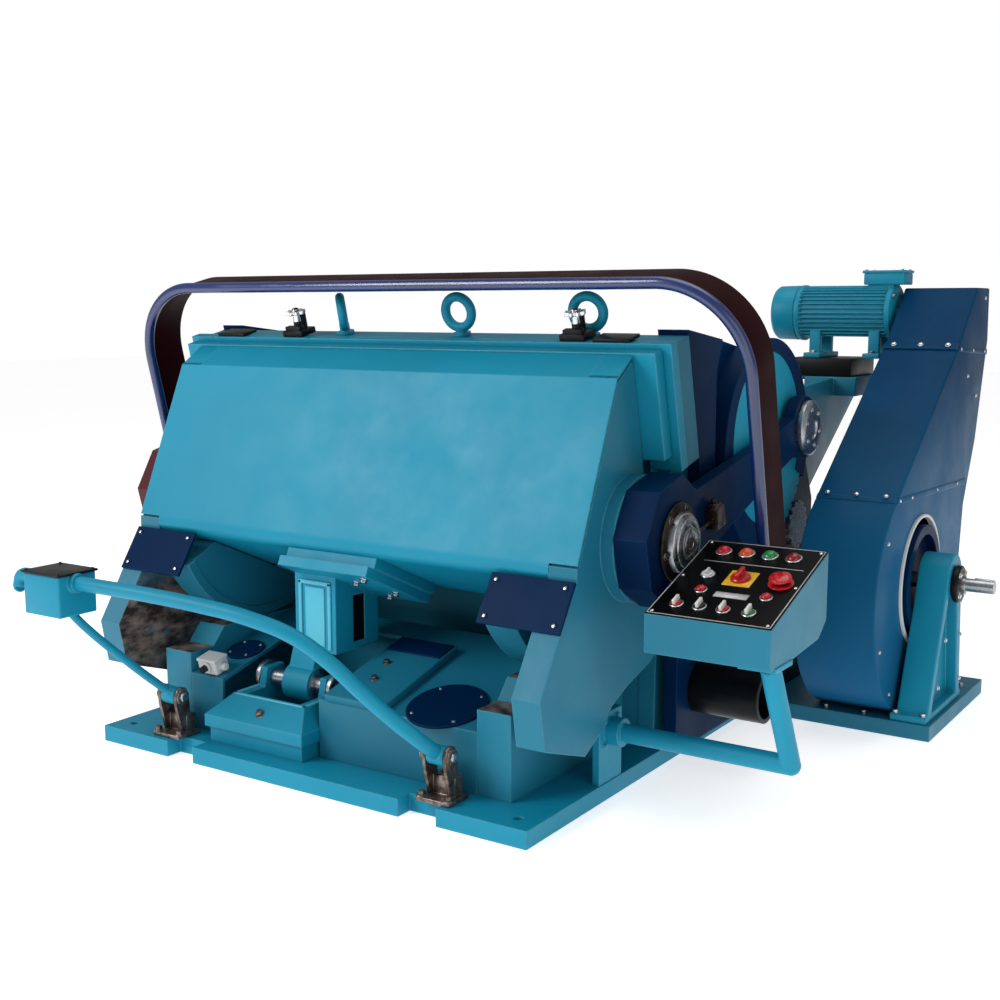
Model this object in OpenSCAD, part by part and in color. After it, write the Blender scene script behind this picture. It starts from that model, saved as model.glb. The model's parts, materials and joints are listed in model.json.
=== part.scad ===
// Heavy platen press for die cutting and creasing board.
// Frame: X runs across the press towards the flywheel, Y runs from the operator to the rear, Z is up.
// The origin is on the floor, midway between the two anchor holes at the front of the base plate.

/* [Base] */
// Width of the base plate across the press
base_w = 1745; // [1700:5:1800]
// Length of the base plate from front to rear
base_l = 2050; // [2000:10:2150]
// Thickness of the base plate
base_t = 55; // [40:1:70]
// Radius of the foundation bolt holes
anchor_r = 15; // [10:0.5:18]
// Distance of the foundation holes from the plate's sides and ends
anchor_in = 72; // [50:1:90]

/* [Platen and bed] */
// Lean of the die plane from vertical, top towards the operator
lean = 13.6; // [10:0.1:16]
// Width over the platen plate
platen_w = 1944; // [1900:2:1960]
// Thickness of the platen plate
platen_t = 48; // [30:1:52]
// Width over the bed
bed_w = 1970; // [1960:2:1990]
// Thickness of the bed casting
bed_t = 112; // [90:1:120]
// Width over the die chase
chase_w = 2000; // [1990:2:2010]
// Thickness of the die chase
chase_t = 42; // [30:1:44]
// Distance from the platen face to the die chase when closed
die_gap = 6; // [4:0.5:12]
// Distance between the outer faces of the two cheeks
cheek_span = 1800; // [1790:2:1806]
// Thickness of a cheek
cheek_t = 95; // [70:1:96]
// Sheet thickness of the platen's back cover
cover_t = 6; // [3:0.5:8]

/* [Motion] */
// Height of the pivot shaft that carries the platen's leg
pivot_z = 240; // [236:1:246]
// Distance of the pivot shaft from the front edge
pivot_y = 310; // [305:1:315]
// Radius of the pivot shaft
pivot_r = 32; // [24:1:40]
// Angle by which the platen opens
open_deg = 40; // [36:1:40]
// Height of the platen journals
journal_z = 810; // [806:1:814]
// Distance of the platen journals from the front edge
journal_y = 550; // [545:1:555]
// Radius of the platen journals
journal_r = 45; // [35:1:55]
// Radius of the crankshaft
crank_r = 55; // [45:1:65]
// Height of the crankshaft
crank_z = 1025; // [1020:1:1030]
// Distance of the crankshaft from the front edge
crank_y = 1383; // [1378:1:1388]
// Running clearance of a shaft in its bore
run_gap = 0.05; // [0.02:0.01:0.1]
// Clearance between pieces that move past each other
air_gap = 0.5; // [0.3:0.1:1]

/* [Rails and rockers] */
// Height of the rails on which the rockers roll
rail_z = 383; // [375:1:390]
// Width of a rail
rail_w = 120; // [100:2:124]
// Distance between the inner sides of the rails
rail_gap = 1200; // [1190:2:1204]
// Thickness of the hardened strip on each rocker
tread_t = 34; // [20:1:40]

/* [Pull rods and gears] */
// Thickness of a pull rod
rod_t = 44; // [40:1:46]
// Distance from a cheek's outer face to the outer face of its pull rod
rod_reach = 154; // [152:1:160]
// Width over the flats of a rod's front housing
hub_w = 376; // [364:2:400]
// Radius of a rod's rear end
big_end_r = 112; // [100:1:118]
// Radius of a crank pin
crank_pin_r = 40; // [30:1:48]
// Module of the bull gears and their pinions
bull_module = 12; // [11.9:0.1:12.1]
// Number of teeth on a bull gear
bull_teeth = 58; // [58:1:58]
// Face width of the outer gears
gear_w = 50; // [40:1:52]
// Number of teeth on a pinion
pinion_teeth = 15; // [15:1:15]
// Number of teeth on the countershaft's large gear
driven_teeth = 35; // [35:1:35]
// Number of teeth on the pinion beside the clutch
drive_teeth = 11; // [11:1:11]

/* [Flywheel drive] */
// Height of the flywheel shaft
fly_z = 510; // [505:1:515]
// Distance of the flywheel shaft from the front edge
fly_y = 1870; // [1865:1:1880]
// Radius of the flywheel
fly_r = 420; // [390:1:425]
// Radius of the flywheel shaft
fly_shaft_r = 28; // [26:1:32]
// Radius of the flywheel shaft's free end
shaft_end_r = 24; // [20:1:25]
// Height of the motor shaft
motor_z = 1480; // [1475:1:1485]
// Distance of the motor shaft from the front edge
motor_y = 2500; // [2495:1:2510]
// Radius of the motor body
motor_r = 108; // [100:1:114]
// Radius of the motor pulley
pulley_r = 55; // [50:1:57]
// Distance of the belt guard's inner side from the middle plane
guard_x0 = 1110; // [1105:1:1115]
// Distance of the belt guard's outer side from the middle plane
guard_x1 = 1400; // [1396:1:1405]

/* [Hoop and bail] */
// Distance between the outer faces of the hoop's legs
hoop_w = 2510; // [2496:2:2530]
// Height of the hoop's upper bar above its pivots
hoop_h = 1180; // [1176:1:1200]
// Thickness of the hoop's strip
hoop_t = 14; // [10:1:18]
// Width of the hoop's strip
hoop_d = 180; // [160:2:190]
// Thickness of the bead along the strip's front edge
hoop_bead = 38; // [30:1:42]
// Radius of the hoop's upper corners
hoop_r = 290; // [260:5:310]
// Radius of the front bail's pipe
bail_r = 23; // [18:0.5:25]
// Radius of the bail's brace pipe
brace_r = 14; // [10:0.5:16]

/* [Controls] */
// Radius of the pipe that carries the control box
arm_r = 29; // [24:0.5:31]
// Width of the control box
box_w = 373; // [368:1:376]
// Distance from the front to the rear of the control box
box_d = 420; // [400:2:425]
// Height of the control box at its front
box_h = 112; // [100:1:120]
// Rise of the control panel from front to rear
panel_tilt = 19; // [17:0.5:20]
// Travel of a push button
press = 4; // [2:0.5:5]

/* [Hidden] */
$fn = 64;

turquoise = "#3ba3c2";
teal = "#2a8099";
navy = "#07224f";
dark = "#20242a";
steel = "#9aa0a4";
bare = "#6a605c";

eps = 0.01;

// ---- places worked out from the driving sizes ----
lever_y = journal_y - pivot_y;
lever_z = journal_z - pivot_z;
open_y = pivot_y + lever_y * cos(open_deg) - lever_z * sin(open_deg);
open_z = pivot_z + lever_y * sin(open_deg) + lever_z * cos(open_deg);
reach_closed = norm([crank_y - journal_y, crank_z - journal_z]);
reach_open = norm([crank_y - open_y, crank_z - open_z]);
throw = (reach_open - reach_closed) / 2;
rod_l = reach_closed + throw;
rod_deg = atan((crank_z - journal_z) / (crank_y - journal_y));
pin_y = crank_y + throw * cos(rod_deg);
pin_z = crank_z + throw * sin(rod_deg);

die_y = 643;
die_z = 1190;
bed_top = 196;
die_gap_back = chase_t + bed_t;
bed_low = -560;
cheek_in = cheek_span / 2 - cheek_t;
rail_in = rail_gap / 2;
rail_out = rail_in + rail_w;
rod_out = cheek_span / 2 + rod_reach;
rod_in = rod_out - rod_t;
gear_out = rod_in - 10;
gear_in = gear_out - gear_w;
frame_t = 45;
frame_out = gear_in - 25;
frame_in = frame_out - frame_t;
bull_r = bull_teeth * bull_module / 2;
pinion_r = pinion_teeth * bull_module / 2;
rear_deg = atan2(fly_z - crank_z, fly_y - crank_y);
counter_y = crank_y + (bull_r + pinion_r) * cos(rear_deg);
counter_z = crank_z + (bull_r + pinion_r) * sin(rear_deg);
counter_gap = norm([fly_y - counter_y, fly_z - counter_z]);
drive_r = counter_gap * drive_teeth / (drive_teeth + driven_teeth);
driven_r = counter_gap - drive_r;
hoop_py = 895;
hoop_pz = 450;
box_x1 = 1477;
box_x0 = box_x1 - box_w;
box_y0 = 245;
box_z0 = 548;
panel_z0 = box_z0 + box_h;

// ---- helpers ----
// Moves a piece, laid out from the front edge, so that the origin lies between the front anchor holes
module in_place() {
    translate([0, -anchor_in, 0]) children();
}
// A profile in the Y-Z plane, drawn as [y, z] points, extruded along X from x0 to x1
module side_extrude(x0, x1) {
    translate([x0, 0, 0]) rotate([90, 0, 90]) linear_extrude(x1 - x0) children();
}
// A cylinder along X from x0 to x1 at [y, z]
module xrod(r, x0, x1, y, z) {
    translate([x0, y, z]) rotate([0, 90, 0]) cylinder(r = r, h = x1 - x0);
}
// The frame of the die plane: Y into the bed, Z up along the die
module die_frame() {
    translate([0, die_y, die_z]) rotate([lean, 0, 0]) children();
}
// The [y, z] point at distance u behind the die plane and w up along it
function die_point(u, w) = [die_y + u * cos(lean) - w * sin(lean), die_z + u * sin(lean) + w * cos(lean)];
module both_sides() {
    children();
    mirror([1, 0, 0]) children();
}
// A round bar between two points
module bar(p, q, r) {
    d = q - p;
    h = norm(d);
    translate(p) rotate([0, acos(d[2] / h), atan2(d[1], d[0])]) cylinder(r = r, h = h);
}
// A pipe through a list of points with a ball at each bend
module pipe(points, r) {
    for (i = [0 : len(points) - 2]) bar(points[i], points[i + 1], r);
    for (i = [1 : len(points) - 2]) translate(points[i]) sphere(r = r + 0.4, $fn = 32);
}
// Outline of a gear whose tips lie on the pitch circle, so that two gears touch without crossing
module gear_outline(r, teeth, depth) {
    polygon([for (i = [0 : teeth - 1], k = [0 : 3])
        let (a = 360 / teeth * (i + [0.08, 0.3, 0.7, 0.92][k]),
             q = (k == 1 || k == 2) ? r : r - depth)
        q * [cos(a), sin(a)]]);
}
// The section of a V-belt groove in a wheel of radius r
module belt_groove(r) {
    polygon([[r + 1, 0], [r + 1, 15], [r - 9, 11], [r - 9, 4]]);
}
// A bolt head with its axis along +X at the origin
module bolt_head(r, h) {
    rotate([0, 90, 0]) cylinder(r = r, h = h, $fn = 6);
}

// ---- fixed frame ----
module base_plate() in_place() {
    foot_x = 560;
    mid_x0 = -440;
    mid_x1 = 420;
    notch = 60;
    half = base_w / 2;
    color(turquoise) difference() {
        linear_extrude(base_t) polygon([[-half, 0], [-foot_x, 0], [-foot_x, notch], [mid_x0, notch],
            [mid_x0, 0], [mid_x1, 0], [mid_x1, notch], [foot_x, notch], [foot_x, 0], [half, 0],
            [half, base_l], [-half, base_l]]);
        for (sx = [-1, 1], y = [anchor_in, base_l - anchor_in])
            translate([sx * (half - anchor_in), y, -1]) cylinder(r = anchor_r, h = base_t + 2);
    }
}

rail_y0 = 157;
rail_y1 = 1000;
module rail(x0) {
    color(teal) side_extrude(x0, x0 + rail_w)
        polygon([[rail_y0, base_t], [rail_y1, base_t], [rail_y1, rail_z], [rail_y0 + 165, rail_z],
            [rail_y0 + 110, rail_z - 62], [rail_y0, rail_z - 62]]);
}
module rails() in_place() {
    rail(-rail_out);
    rail(rail_in);
}

deck_y0 = 157;
deck_y1 = 700;
deck_z0 = 250;
deck_deg = 14.5;
deck_t = 12;
deck_x = rail_in - 1;
deck_lip = deck_z0 + (deck_y1 - deck_y0) * tan(deck_deg);
housing_x0 = -450;
housing_x1 = -20;
housing_y0 = 70;
housing_y1 = 600;
module deck_plate() in_place() {
    color(teal) difference() {
        union() {
            side_extrude(-deck_x, deck_x) polygon([[deck_y0, base_t], [deck_y0 + deck_t, base_t],
                [deck_y0 + deck_t, deck_z0 - deck_t], [deck_y1, deck_lip - deck_t], [deck_y1, deck_lip],
                [deck_y0, deck_z0]]);
            side_extrude(-deck_x, deck_x) polygon([[deck_y1 - deck_t, base_t], [deck_y1, base_t],
                [deck_y1, deck_lip - deck_t], [deck_y1 - deck_t, deck_lip - 2 * deck_t]]);
        }
        translate([housing_x0 - 1, deck_y0 - 1, base_t - 1])
            cube([housing_x1 - housing_x0 + 2, housing_y1 - deck_y0 + 2, 400]);
    }
}
// Places a flat piece on the sloping deck at [x, y] in plan
module on_deck(x, y) {
    translate([x, y, deck_z0 + (y - deck_y0) * tan(deck_deg)]) rotate([deck_deg, 0, 0]) children();
}
cover_disc_r = 130;
module deck_covers() in_place() {
    color(navy) {
        on_deck(425, 250) translate([0, 0, 0.02]) cylinder(r = cover_disc_r, h = 8);
        on_deck(-520, 345) translate([0, 0, 0.02]) cylinder(r = 66, h = 8);
    }
}
platform_x0 = 12;
platform_x1 = 252;
module platform_plate() in_place() {
    color(teal) on_deck(0, 152) {
        translate([platform_x0, 0, 0]) cube([platform_x1 - platform_x0, 420, 26]);
        translate([150, 330, 26]) cylinder(r = 62, h = 16);
        for (x = [150, 215], y = [120, 210])
            translate([x, y, 26]) cylinder(r = 11, h = 9, $fn = 6);
    }
}

rim_z = 215;
flange_z = 150;
rim_x0 = -372;
rim_x1 = -82;
rim_y0 = 155;
rim_y1 = 470;
wall = 14;
module pivot_housing() in_place() {
    color(turquoise) difference() {
        union() {
            translate([housing_x0 + 12, housing_y0 + 14, base_t])
                cube([housing_x1 - housing_x0 - 24, housing_y1 - housing_y0 - 28, flange_z - base_t - 40]);
            translate([housing_x0, housing_y0, flange_z - 40])
                cube([housing_x1 - housing_x0, housing_y1 - housing_y0, 40]);
            hull() {
                translate([housing_x0, housing_y0, flange_z - eps])
                    cube([housing_x1 - housing_x0, housing_y1 - housing_y0, eps]);
                translate([rim_x0 - wall, rim_y0 - wall, rim_z - 12])
                    cube([rim_x1 - rim_x0 + 2 * wall, rim_y1 - rim_y0 + 2 * wall, 12]);
            }
            for (x = [shaft_x0, shaft_x1 - 26])
                side_extrude(x, x + 26) polygon([[pivot_y - 62, rim_z - 30], [pivot_y + 62, rim_z - 30],
                    [pivot_y + 42, pivot_z + 40], [pivot_y - 42, pivot_z + 40]]);
        }
        translate([rim_x0 + 26, rim_y0, base_t + 20])
            cube([rim_x1 - rim_x0 - 52, rim_y1 - rim_y0, 400]);
        xrod(pivot_r, shaft_x0 - 30, shaft_x1 + 30, pivot_y, pivot_z);
    }
}
shaft_x0 = rim_x0;
shaft_x1 = rim_x1;
leg_x0 = -262;
leg_x1 = -150;
module pivot_shaft() in_place() {
    color(steel) xrod(pivot_r - run_gap, shaft_x0 - 24, shaft_x1 + 24, pivot_y, pivot_z);
}

bed_back = die_gap_back + 1;
module side_frame_plate() {
    side_extrude(frame_in, frame_out) difference() {
        polygon([die_point(bed_back, bed_top + 18), die_point(bed_back, bed_low - 10), [835, 640],
            [835, base_t], [base_l - 30, base_t], [base_l - 30, 760], [1780, 1240], [1500, 1330],
            [1130, 1392]]);
        translate([crank_y, crank_z]) circle(r = crank_r + run_gap);
        translate([counter_y, counter_z]) circle(r = counter_r + run_gap);
        translate([fly_y, fly_z]) circle(r = fly_shaft_r + run_gap);
    }
    side_extrude(frame_out - eps, 985) polygon([die_point(bed_back, bed_top + 18), die_point(bed_back, -475),
        [960, 760], [960, 1300], [1000, 1400]]);
    translate([frame_in - 60, 1060, base_t]) cube([60 + eps, base_l - 1120, 30]);
    xrod(22, frame_out - eps, pin_out, hoop_py, hoop_pz);
}
counter_r = 32;
module side_frames() in_place() color(navy) both_sides() side_frame_plate();

wide_low = -200;
module bed() in_place() {
    rib_x = [-840, -320, 290, 810];
    color(teal) {
        die_frame() {
            translate([-bed_w / 2, chase_t, wide_low]) cube([bed_w, bed_t, bed_top - wide_low]);
            translate([-940, chase_t, bed_low]) cube([1880, bed_t, wide_low - bed_low + eps]);
            for (x = rib_x) translate([x, chase_t + bed_t - eps, bed_low + 30])
                cube([30, 90, bed_top - bed_low - 90]);
        }
        for (x = [-840, 780]) side_extrude(x, x + 60)
            polygon([[840, base_t], [1040, base_t], [1040, 700], [860, 700]]);
        // the front wall of the base, between the two legs and over the rails
        difference() {
            side_extrude(-781, 781) polygon([[842, base_t], [864, base_t], [884, 700], [862, 700]]);
            both_sides() translate([rail_in - 0.3, 800, 0]) cube([rail_w + 0.6, 100, rail_z + 0.3]);
        }
    }
}
// the chase's lower part passes between the bosses of the cheeks
chase_low = cheek_span / 2 - 5;
module die_chase() in_place() {
    color(turquoise) die_frame() difference() {
        union() {
            translate([-chase_w / 2, 0, wide_low + 10]) cube([chase_w, chase_t - 0.4, 200 - wide_low]);
            translate([-chase_low, 0, -440]) cube([2 * chase_low, chase_t - 0.4, 450 + wide_low + eps]);
        }
        translate([-chase_w / 2 + 110, -1, -370]) cube([chase_w - 220, 18, 510]);
    }
}

clamp_x = [-500, 655];
module chase_clamps() in_place() {
    color(dark) for (x = clamp_x) die_frame() {
        translate([x - 45, 8, 210]) cube([90, 80, 22]);
        translate([x, 48, 232]) cylinder(r = 18, h = 26);
        translate([x - 12, 64, 231.5]) cube([24, 22, 50]);
        translate([x + (x < 0 ? -365 : 75), 3, 210]) cube([130, 74, 12]);
    }
}
module clamp_knob(x) {
    color(dark) die_frame() translate([x, 48, 258 + air_gap]) {
        cylinder(r = 14, h = 26);
        translate([0, 0, 26]) cylinder(r = 32, h = 16, $fn = 8);
    }
}
module left_clamp_knob() in_place() clamp_knob(clamp_x[0]);
module right_clamp_knob() in_place() clamp_knob(clamp_x[1]);
tube_y = 1000;
tube_z = 240;
module tie_tube() in_place() {
    color(dark) difference() {
        xrod(86, frame_out, 1170, tube_y, tube_z);
        xrod(70, frame_out - 1, 1171, tube_y, tube_z);
    }
}

eye_x = [-340, 166, 664];
eye_deg = [-50, 0, 6];
module eye_bolts() in_place() {
    color(turquoise) for (i = [0 : 2]) die_frame() translate([eye_x[i], 112, bed_top]) {
        cylinder(r = 32, h = 12);
        cylinder(r = 18, h = 40);
        translate([0, 0, 82]) rotate([90, 0, eye_deg[i]])
            rotate_extrude() translate([52, 0]) circle(r = 16);
    }
}

guard_r = bull_r + 25;
module gear_guard() {
    // a rim round the bull gear, open where the pinion meets it, with a flange over the teeth
    side_extrude(gear_out - 4, gear_out - 1 + eps) difference() {
        translate([crank_y, crank_z]) circle(r = guard_r);
        translate([crank_y - 8, crank_z + 26]) circle(r = bull_r - 48);
        translate([crank_y, crank_z]) rotate(rear_deg)
            polygon([[0, 0], [500, -220], [500, 220]]);
    }
    side_extrude(frame_out, gear_out - 1) difference() {
        translate([crank_y, crank_z]) circle(r = guard_r);
        translate([crank_y, crank_z]) circle(r = bull_r + 9);
        translate([crank_y, crank_z]) rotate(rear_deg)
            polygon([[0, 0], [500, -220], [500, 220]]);
    }
    for (a = [4, 47, 100, 200])
        translate([gear_out - 1, crank_y + (bull_r + 17) * cos(a), crank_z + (bull_r + 17) * sin(a)])
            bolt_head(7, 5);
}
module gear_guards() in_place() color(navy) both_sides() gear_guard();

sole_y0 = 1565;
sole_y1 = 2290;
sole_x0 = base_w / 2 + 1;
sole_x1 = 1545;
module sole_plate() in_place() {
    color(navy) translate([sole_x0, sole_y0, 0]) cube([sole_x1 - sole_x0, sole_y1 - sole_y0, base_t]);
}
bracket_x1 = sole_x1 - 15;
module bearing_bracket() in_place() {
    x1 = bracket_x1;
    x0 = x1 - 110;
    color(turquoise) difference() {
        union() {
            side_extrude(x0, x1) polygon([[1590, base_t + 24], [1640, base_t + 24],
                [fly_y - 70, fly_z - 40], [fly_y + 40, fly_z - 40], [fly_y + 90, base_t + 24],
                [fly_y + 135, base_t + 24], [fly_y + 110, fly_z + 40], [fly_y + 60, fly_z + 92],
                [fly_y - 30, fly_z + 92], [fly_y - 62, fly_z + 66]]);
            side_extrude(x0 + 40, x0 + 70) polygon([[1625, base_t + 24], [fly_y + 100, base_t + 24],
                [fly_y + 80, fly_z], [fly_y - 40, fly_z]]);
            translate([guard_x1 + 2, 1572, base_t]) cube([x1 - guard_x1 - 2, 450, 24 + eps]);
        }
        xrod(fly_shaft_r + run_gap, x0 - 1, x1 + 1, fly_y, fly_z);
    }
}
module outboard_bearing() in_place() {
    color(dark) difference() {
        xrod(68, bracket_x1 + 1, bracket_x1 + 26, fly_y, fly_z);
        xrod(fly_shaft_r + run_gap, bracket_x1, bracket_x1 + 27, fly_y, fly_z);
    }
    color(steel) for (a = [45 : 90 : 315])
        translate([bracket_x1 + 26, fly_y + 52 * cos(a), fly_z + 52 * sin(a)]) bolt_head(8, 7);
}

guard_t = 4;
drum_r = 436;
module guard_outline(inset) {
    offset(delta = -inset) polygon(concat(
        [[2515, 1580], [2285, 1360]],
        [for (a = [127 : 6 : 247]) [fly_y - 70 + drum_r * cos(a), fly_z - 40 + drum_r * sin(a)]],
        [[1680, base_t], [2180, base_t], [2330, 240], [2425, 500], [2455, 720], [2590, 970],
         [2715, 1370], [2705, 1580]]));
}
module belt_guard() in_place() {
    color(navy) difference() {
        side_extrude(guard_x0, guard_x1) guard_outline(0);
        side_extrude(guard_x0 + guard_t, guard_x1 - guard_t) guard_outline(guard_t);
        xrod(232, guard_x1 - guard_t - 1, guard_x1 + 1, fly_y, fly_z);
        xrod(fly_shaft_r + 20, guard_x0 - 1, guard_x0 + guard_t + 1, fly_y, fly_z);
        xrod(34, guard_x0 - 1, guard_x0 + guard_t + 1, motor_y, motor_z);
    }
}
motor_x0 = 575;
motor_x1 = 1088;
foot_z = motor_z - 185;
module motor() in_place() {
    color(turquoise) difference() {
        union() {
            xrod(motor_r + 8, motor_x0, motor_x0 + 110, motor_y, motor_z);
            xrod(motor_r - 14, motor_x0 + 109, motor_x1 - 16, motor_y, motor_z);
            for (a = [0 : 15 : 345]) translate([motor_x0 + 109, motor_y, motor_z]) rotate([a, 0, 0])
                translate([0, -2, motor_r - 20]) cube([motor_x1 - motor_x0 - 125, 4, 26]);
            xrod(motor_r + 8, motor_x1 - 18, motor_x1, motor_y, motor_z);
            translate([motor_x0 + 150, motor_y - 95, foot_z]) cube([260, 190, 110]);
            translate([motor_x0 + 60, motor_y - 120, foot_z]) cube([420, 240, 20]);
            translate([980, motor_y - 45, motor_z + motor_r - 10]) cube([80, 90, 22]);
            translate([958, motor_y - 60, motor_z + motor_r + 8]) cube([174, 120, 56]);
        }
        xrod(20, motor_x1 - 60, motor_x1 + 1, motor_y, motor_z);
    }
}
stand_x0 = 755;
module motor_slide_base() in_place() {
    zb = foot_z;
    color(dark) translate([672, motor_y - 150, zb - 75]) cube([279, 300, 74.5]);
    color(turquoise) {
        translate([stand_x0, motor_y - 150, zb - 153]) cube([220, 300, 78.5]);
        side_extrude(frame_in - 30, frame_in) polygon([[1760, 780], [1980, 700],
            [motor_y + 150, zb - 150], [motor_y + 150, zb - 80], [motor_y - 150, zb - 80], [1760, 1180]]);
    }
}
module motor_shaft() in_place() {
    color(steel) {
        xrod(20 - run_gap, motor_x1 - 55, guard_x0 + 210, motor_y, motor_z);
        difference() {
            xrod(pulley_r, guard_x0 + 60, guard_x0 + 200, motor_y, motor_z);
            for (i = [0 : 4]) translate([guard_x0 + 76 + 24 * i, motor_y, motor_z]) rotate([0, 90, 0])
                rotate_extrude() belt_groove(pulley_r);
        }
    }
}
module flywheel() in_place() {
    color(navy) difference() {
        union() {
            xrod(fly_r, guard_x0 + 50, guard_x0 + 210, fly_y, fly_z);
            xrod(205, guard_x0 + 210 - eps, guard_x1 + 20, fly_y, fly_z);
        }
        xrod(fly_r - 46, guard_x0 + 120, guard_x0 + 211, fly_y, fly_z);
        xrod(fly_shaft_r + run_gap, guard_x0 + 49, guard_x1 + 21, fly_y, fly_z);
        for (i = [0 : 4]) translate([guard_x0 + 66 + 24 * i, fly_y, fly_z]) rotate([0, 90, 0])
            rotate_extrude() belt_groove(fly_r);
        xrod(170, guard_x1 - 20, guard_x1 + 21, fly_y, fly_z);
    }
    color(navy) difference() {
        xrod(206, guard_x0 + 119, guard_x0 + 212, fly_y, fly_z);
        xrod(fly_shaft_r + run_gap, guard_x0 + 49, guard_x1 + 21, fly_y, fly_z);
    }
}
module flywheel_shaft() in_place() {
    color(steel) {
        xrod(fly_shaft_r, -frame_out - 20, bracket_x1 + 40, fly_y, fly_z);
        xrod(shaft_end_r, bracket_x1 + 40 - eps, bracket_x1 + 140, fly_y, fly_z);
    }
}
module clutch_pinion() in_place() {
    color(steel) difference() {
        union() {
            side_extrude(-60, 60) translate([fly_y, fly_z]) gear_outline(drive_r - air_gap, drive_teeth, 9);
            xrod(drive_r + 30, 60 - eps, 100, fly_y, fly_z);
        }
        xrod(fly_shaft_r + run_gap, -61, 101, fly_y, fly_z);
    }
}
module countershaft() in_place() {
    color(steel) {
        xrod(counter_r, -gear_out, gear_out, counter_y, counter_z);
        side_extrude(-50, 50) translate([counter_y, counter_z])
            gear_outline(driven_r - air_gap, driven_teeth, 12);
        for (x = [-gear_out, gear_in])
            side_extrude(x, x + gear_w) translate([counter_y, counter_z])
                gear_outline(pinion_r - air_gap, pinion_teeth, 14);
    }
}
module crankshaft() in_place() color(steel) xrod(crank_r, -gear_out, gear_out, crank_y, crank_z);
module bull_gear() {
    side_extrude(gear_in, gear_out - 5) difference() {
        translate([crank_y, crank_z]) gear_outline(bull_r - air_gap, bull_teeth, 16);
        translate([crank_y, crank_z]) circle(r = crank_r);
    }
}
module bull_gears() in_place() color(turquoise) both_sides() bull_gear();

// ---- platen ----
plate_wide_low = -140;
boss_out = cheek_span / 2 + 44;
module platen() in_place() {
    color(turquoise) die_frame() {
        translate([-platen_w / 2, -die_gap - platen_t, plate_wide_low])
            cube([platen_w, platen_t, bed_top - 1 - plate_wide_low]);
        translate([-cheek_in + 0.2, -die_gap - platen_t, -600])
            cube([2 * cheek_in - 0.4, platen_t, plate_wide_low + 600 + eps]);
    }
    color(teal) for (x = [-560, -200, 160, 520]) side_extrude(x, x + 34)
        polygon([[540, 1300], [470, 1285], [262, 780], [275, 735], [335, 690], [560, 592],
            [735, 640], [720, 700], [660, 1000], [580, 1290]]);
}
roll_y = 266;
roll_z = 756;
roll_r = 45;
under_deg = 24;
skin_top = [[542, 1361], [446, 1296]];
roll_arc = [for (a = [157.5 : 12.65 : 246.1]) [roll_y + roll_r * cos(a), roll_z + roll_r * sin(a)]];
under_end = [600, roll_z - roll_r / cos(under_deg) - (600 - roll_y) * tan(under_deg)];
module platen_cover() in_place() {
    color(turquoise) {
        side_extrude(-cheek_in + 0.2, cheek_in - 0.2) difference() {
            polygon(concat(skin_top, roll_arc, [under_end, [600, 1400]]));
            offset(delta = -cover_t) polygon(concat([[542, 1420]], skin_top, roll_arc, [under_end, [700, 500],
                [700, 1420]]));
            polygon([[535, 1500], [700, 1500], [700, 400], [600 - 1, 400]]);
        }
        both_sides() side_extrude(cheek_in - 0.2 - eps, cheek_span / 2) difference() {
            polygon(concat(skin_top, [roll_arc[0], [600, roll_arc[0][1]]]));
            offset(delta = -cover_t) polygon(concat([[542, 1420]], skin_top, [roll_arc[0], [200, 700],
                [700, 700], [700, 1420]]));
            polygon([[535, 1500], [700, 1500], [700, 400], [250, 400], [250, 790]]);
        }
    }
}
cheek_outline = [[452, 1284], [536, 1342], [553, 1325], [631, 975], [690, 965], [690, 880], [738, 700],
    [797, 450], [689, 390], [542, 350], [440, 309], [392, 254], [278, 196], [53, 273], [26, 420],
    [131, 585], [223, 726],
    [223.5, 766], [234, 766]];
module cheek() {
    difference() {
        union() {
            side_extrude(cheek_in, cheek_in + cheek_t) polygon(cheek_outline);
            xrod(196, cheek_in + cheek_t - eps, boss_out, journal_y, journal_z);
        }
        xrod(journal_r, cheek_in - 1, boss_out + 1, journal_y, journal_z);
    }
}
module left_cheek() in_place() color(teal) mirror([1, 0, 0]) cheek();
module right_cheek() in_place() color(teal) cheek();
rocker_r = journal_z - rail_z - air_gap;
// The segment of each rocker below the platen's underside, from its front edge to its rear edge
module rocker_sector(r1, r0) {
    intersection() {
        difference() {
            circle(r = r1, $fn = 128);
            if (r0 > 0) circle(r = r0, $fn = 128);
        }
        polygon([[-252, -122], [-700, -333], [-700, -700], [430, -700], [284, -360]]);
    }
}
module rockers() in_place() {
    color(teal) both_sides() side_extrude(rail_in + 8, rail_out - 8)
        translate([journal_y, journal_z]) rocker_sector(rocker_r - tread_t, 0);
}
module rocker_treads() in_place() {
    color(bare) both_sides() side_extrude(rail_in + 4, rail_out - 4)
        translate([journal_y, journal_z]) rocker_sector(rocker_r, rocker_r - tread_t);
}
module cheek_covers() in_place() {
    // sloping plates across the front of each rocker, fastened to the cheek
    edge_a = cheek_outline[16];
    edge_b = cheek_outline[15];
    n = [edge_b[1] - edge_a[1], edge_a[0] - edge_b[0]] / norm(edge_b - edge_a);
    p = edge_b + 0.985 * (edge_a - edge_b) + 0.2 * n;
    q = edge_b + 0.03 * (edge_a - edge_b) + 0.2 * n;
    color(navy) both_sides() side_extrude(617, cheek_span / 2)
        polygon([p + 10 * n, q + 10 * n, q, p]);
    color(steel) both_sides() for (x = [640, cheek_span / 2 - 24], t = [0.14, 0.86])
        let (c = p + t * (q - p) + 10 * n)
        translate([x, c[0], c[1]]) rotate([atan2(-n[0], n[1]), 0, 0]) cylinder(r = 8, h = 5);
}

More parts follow.
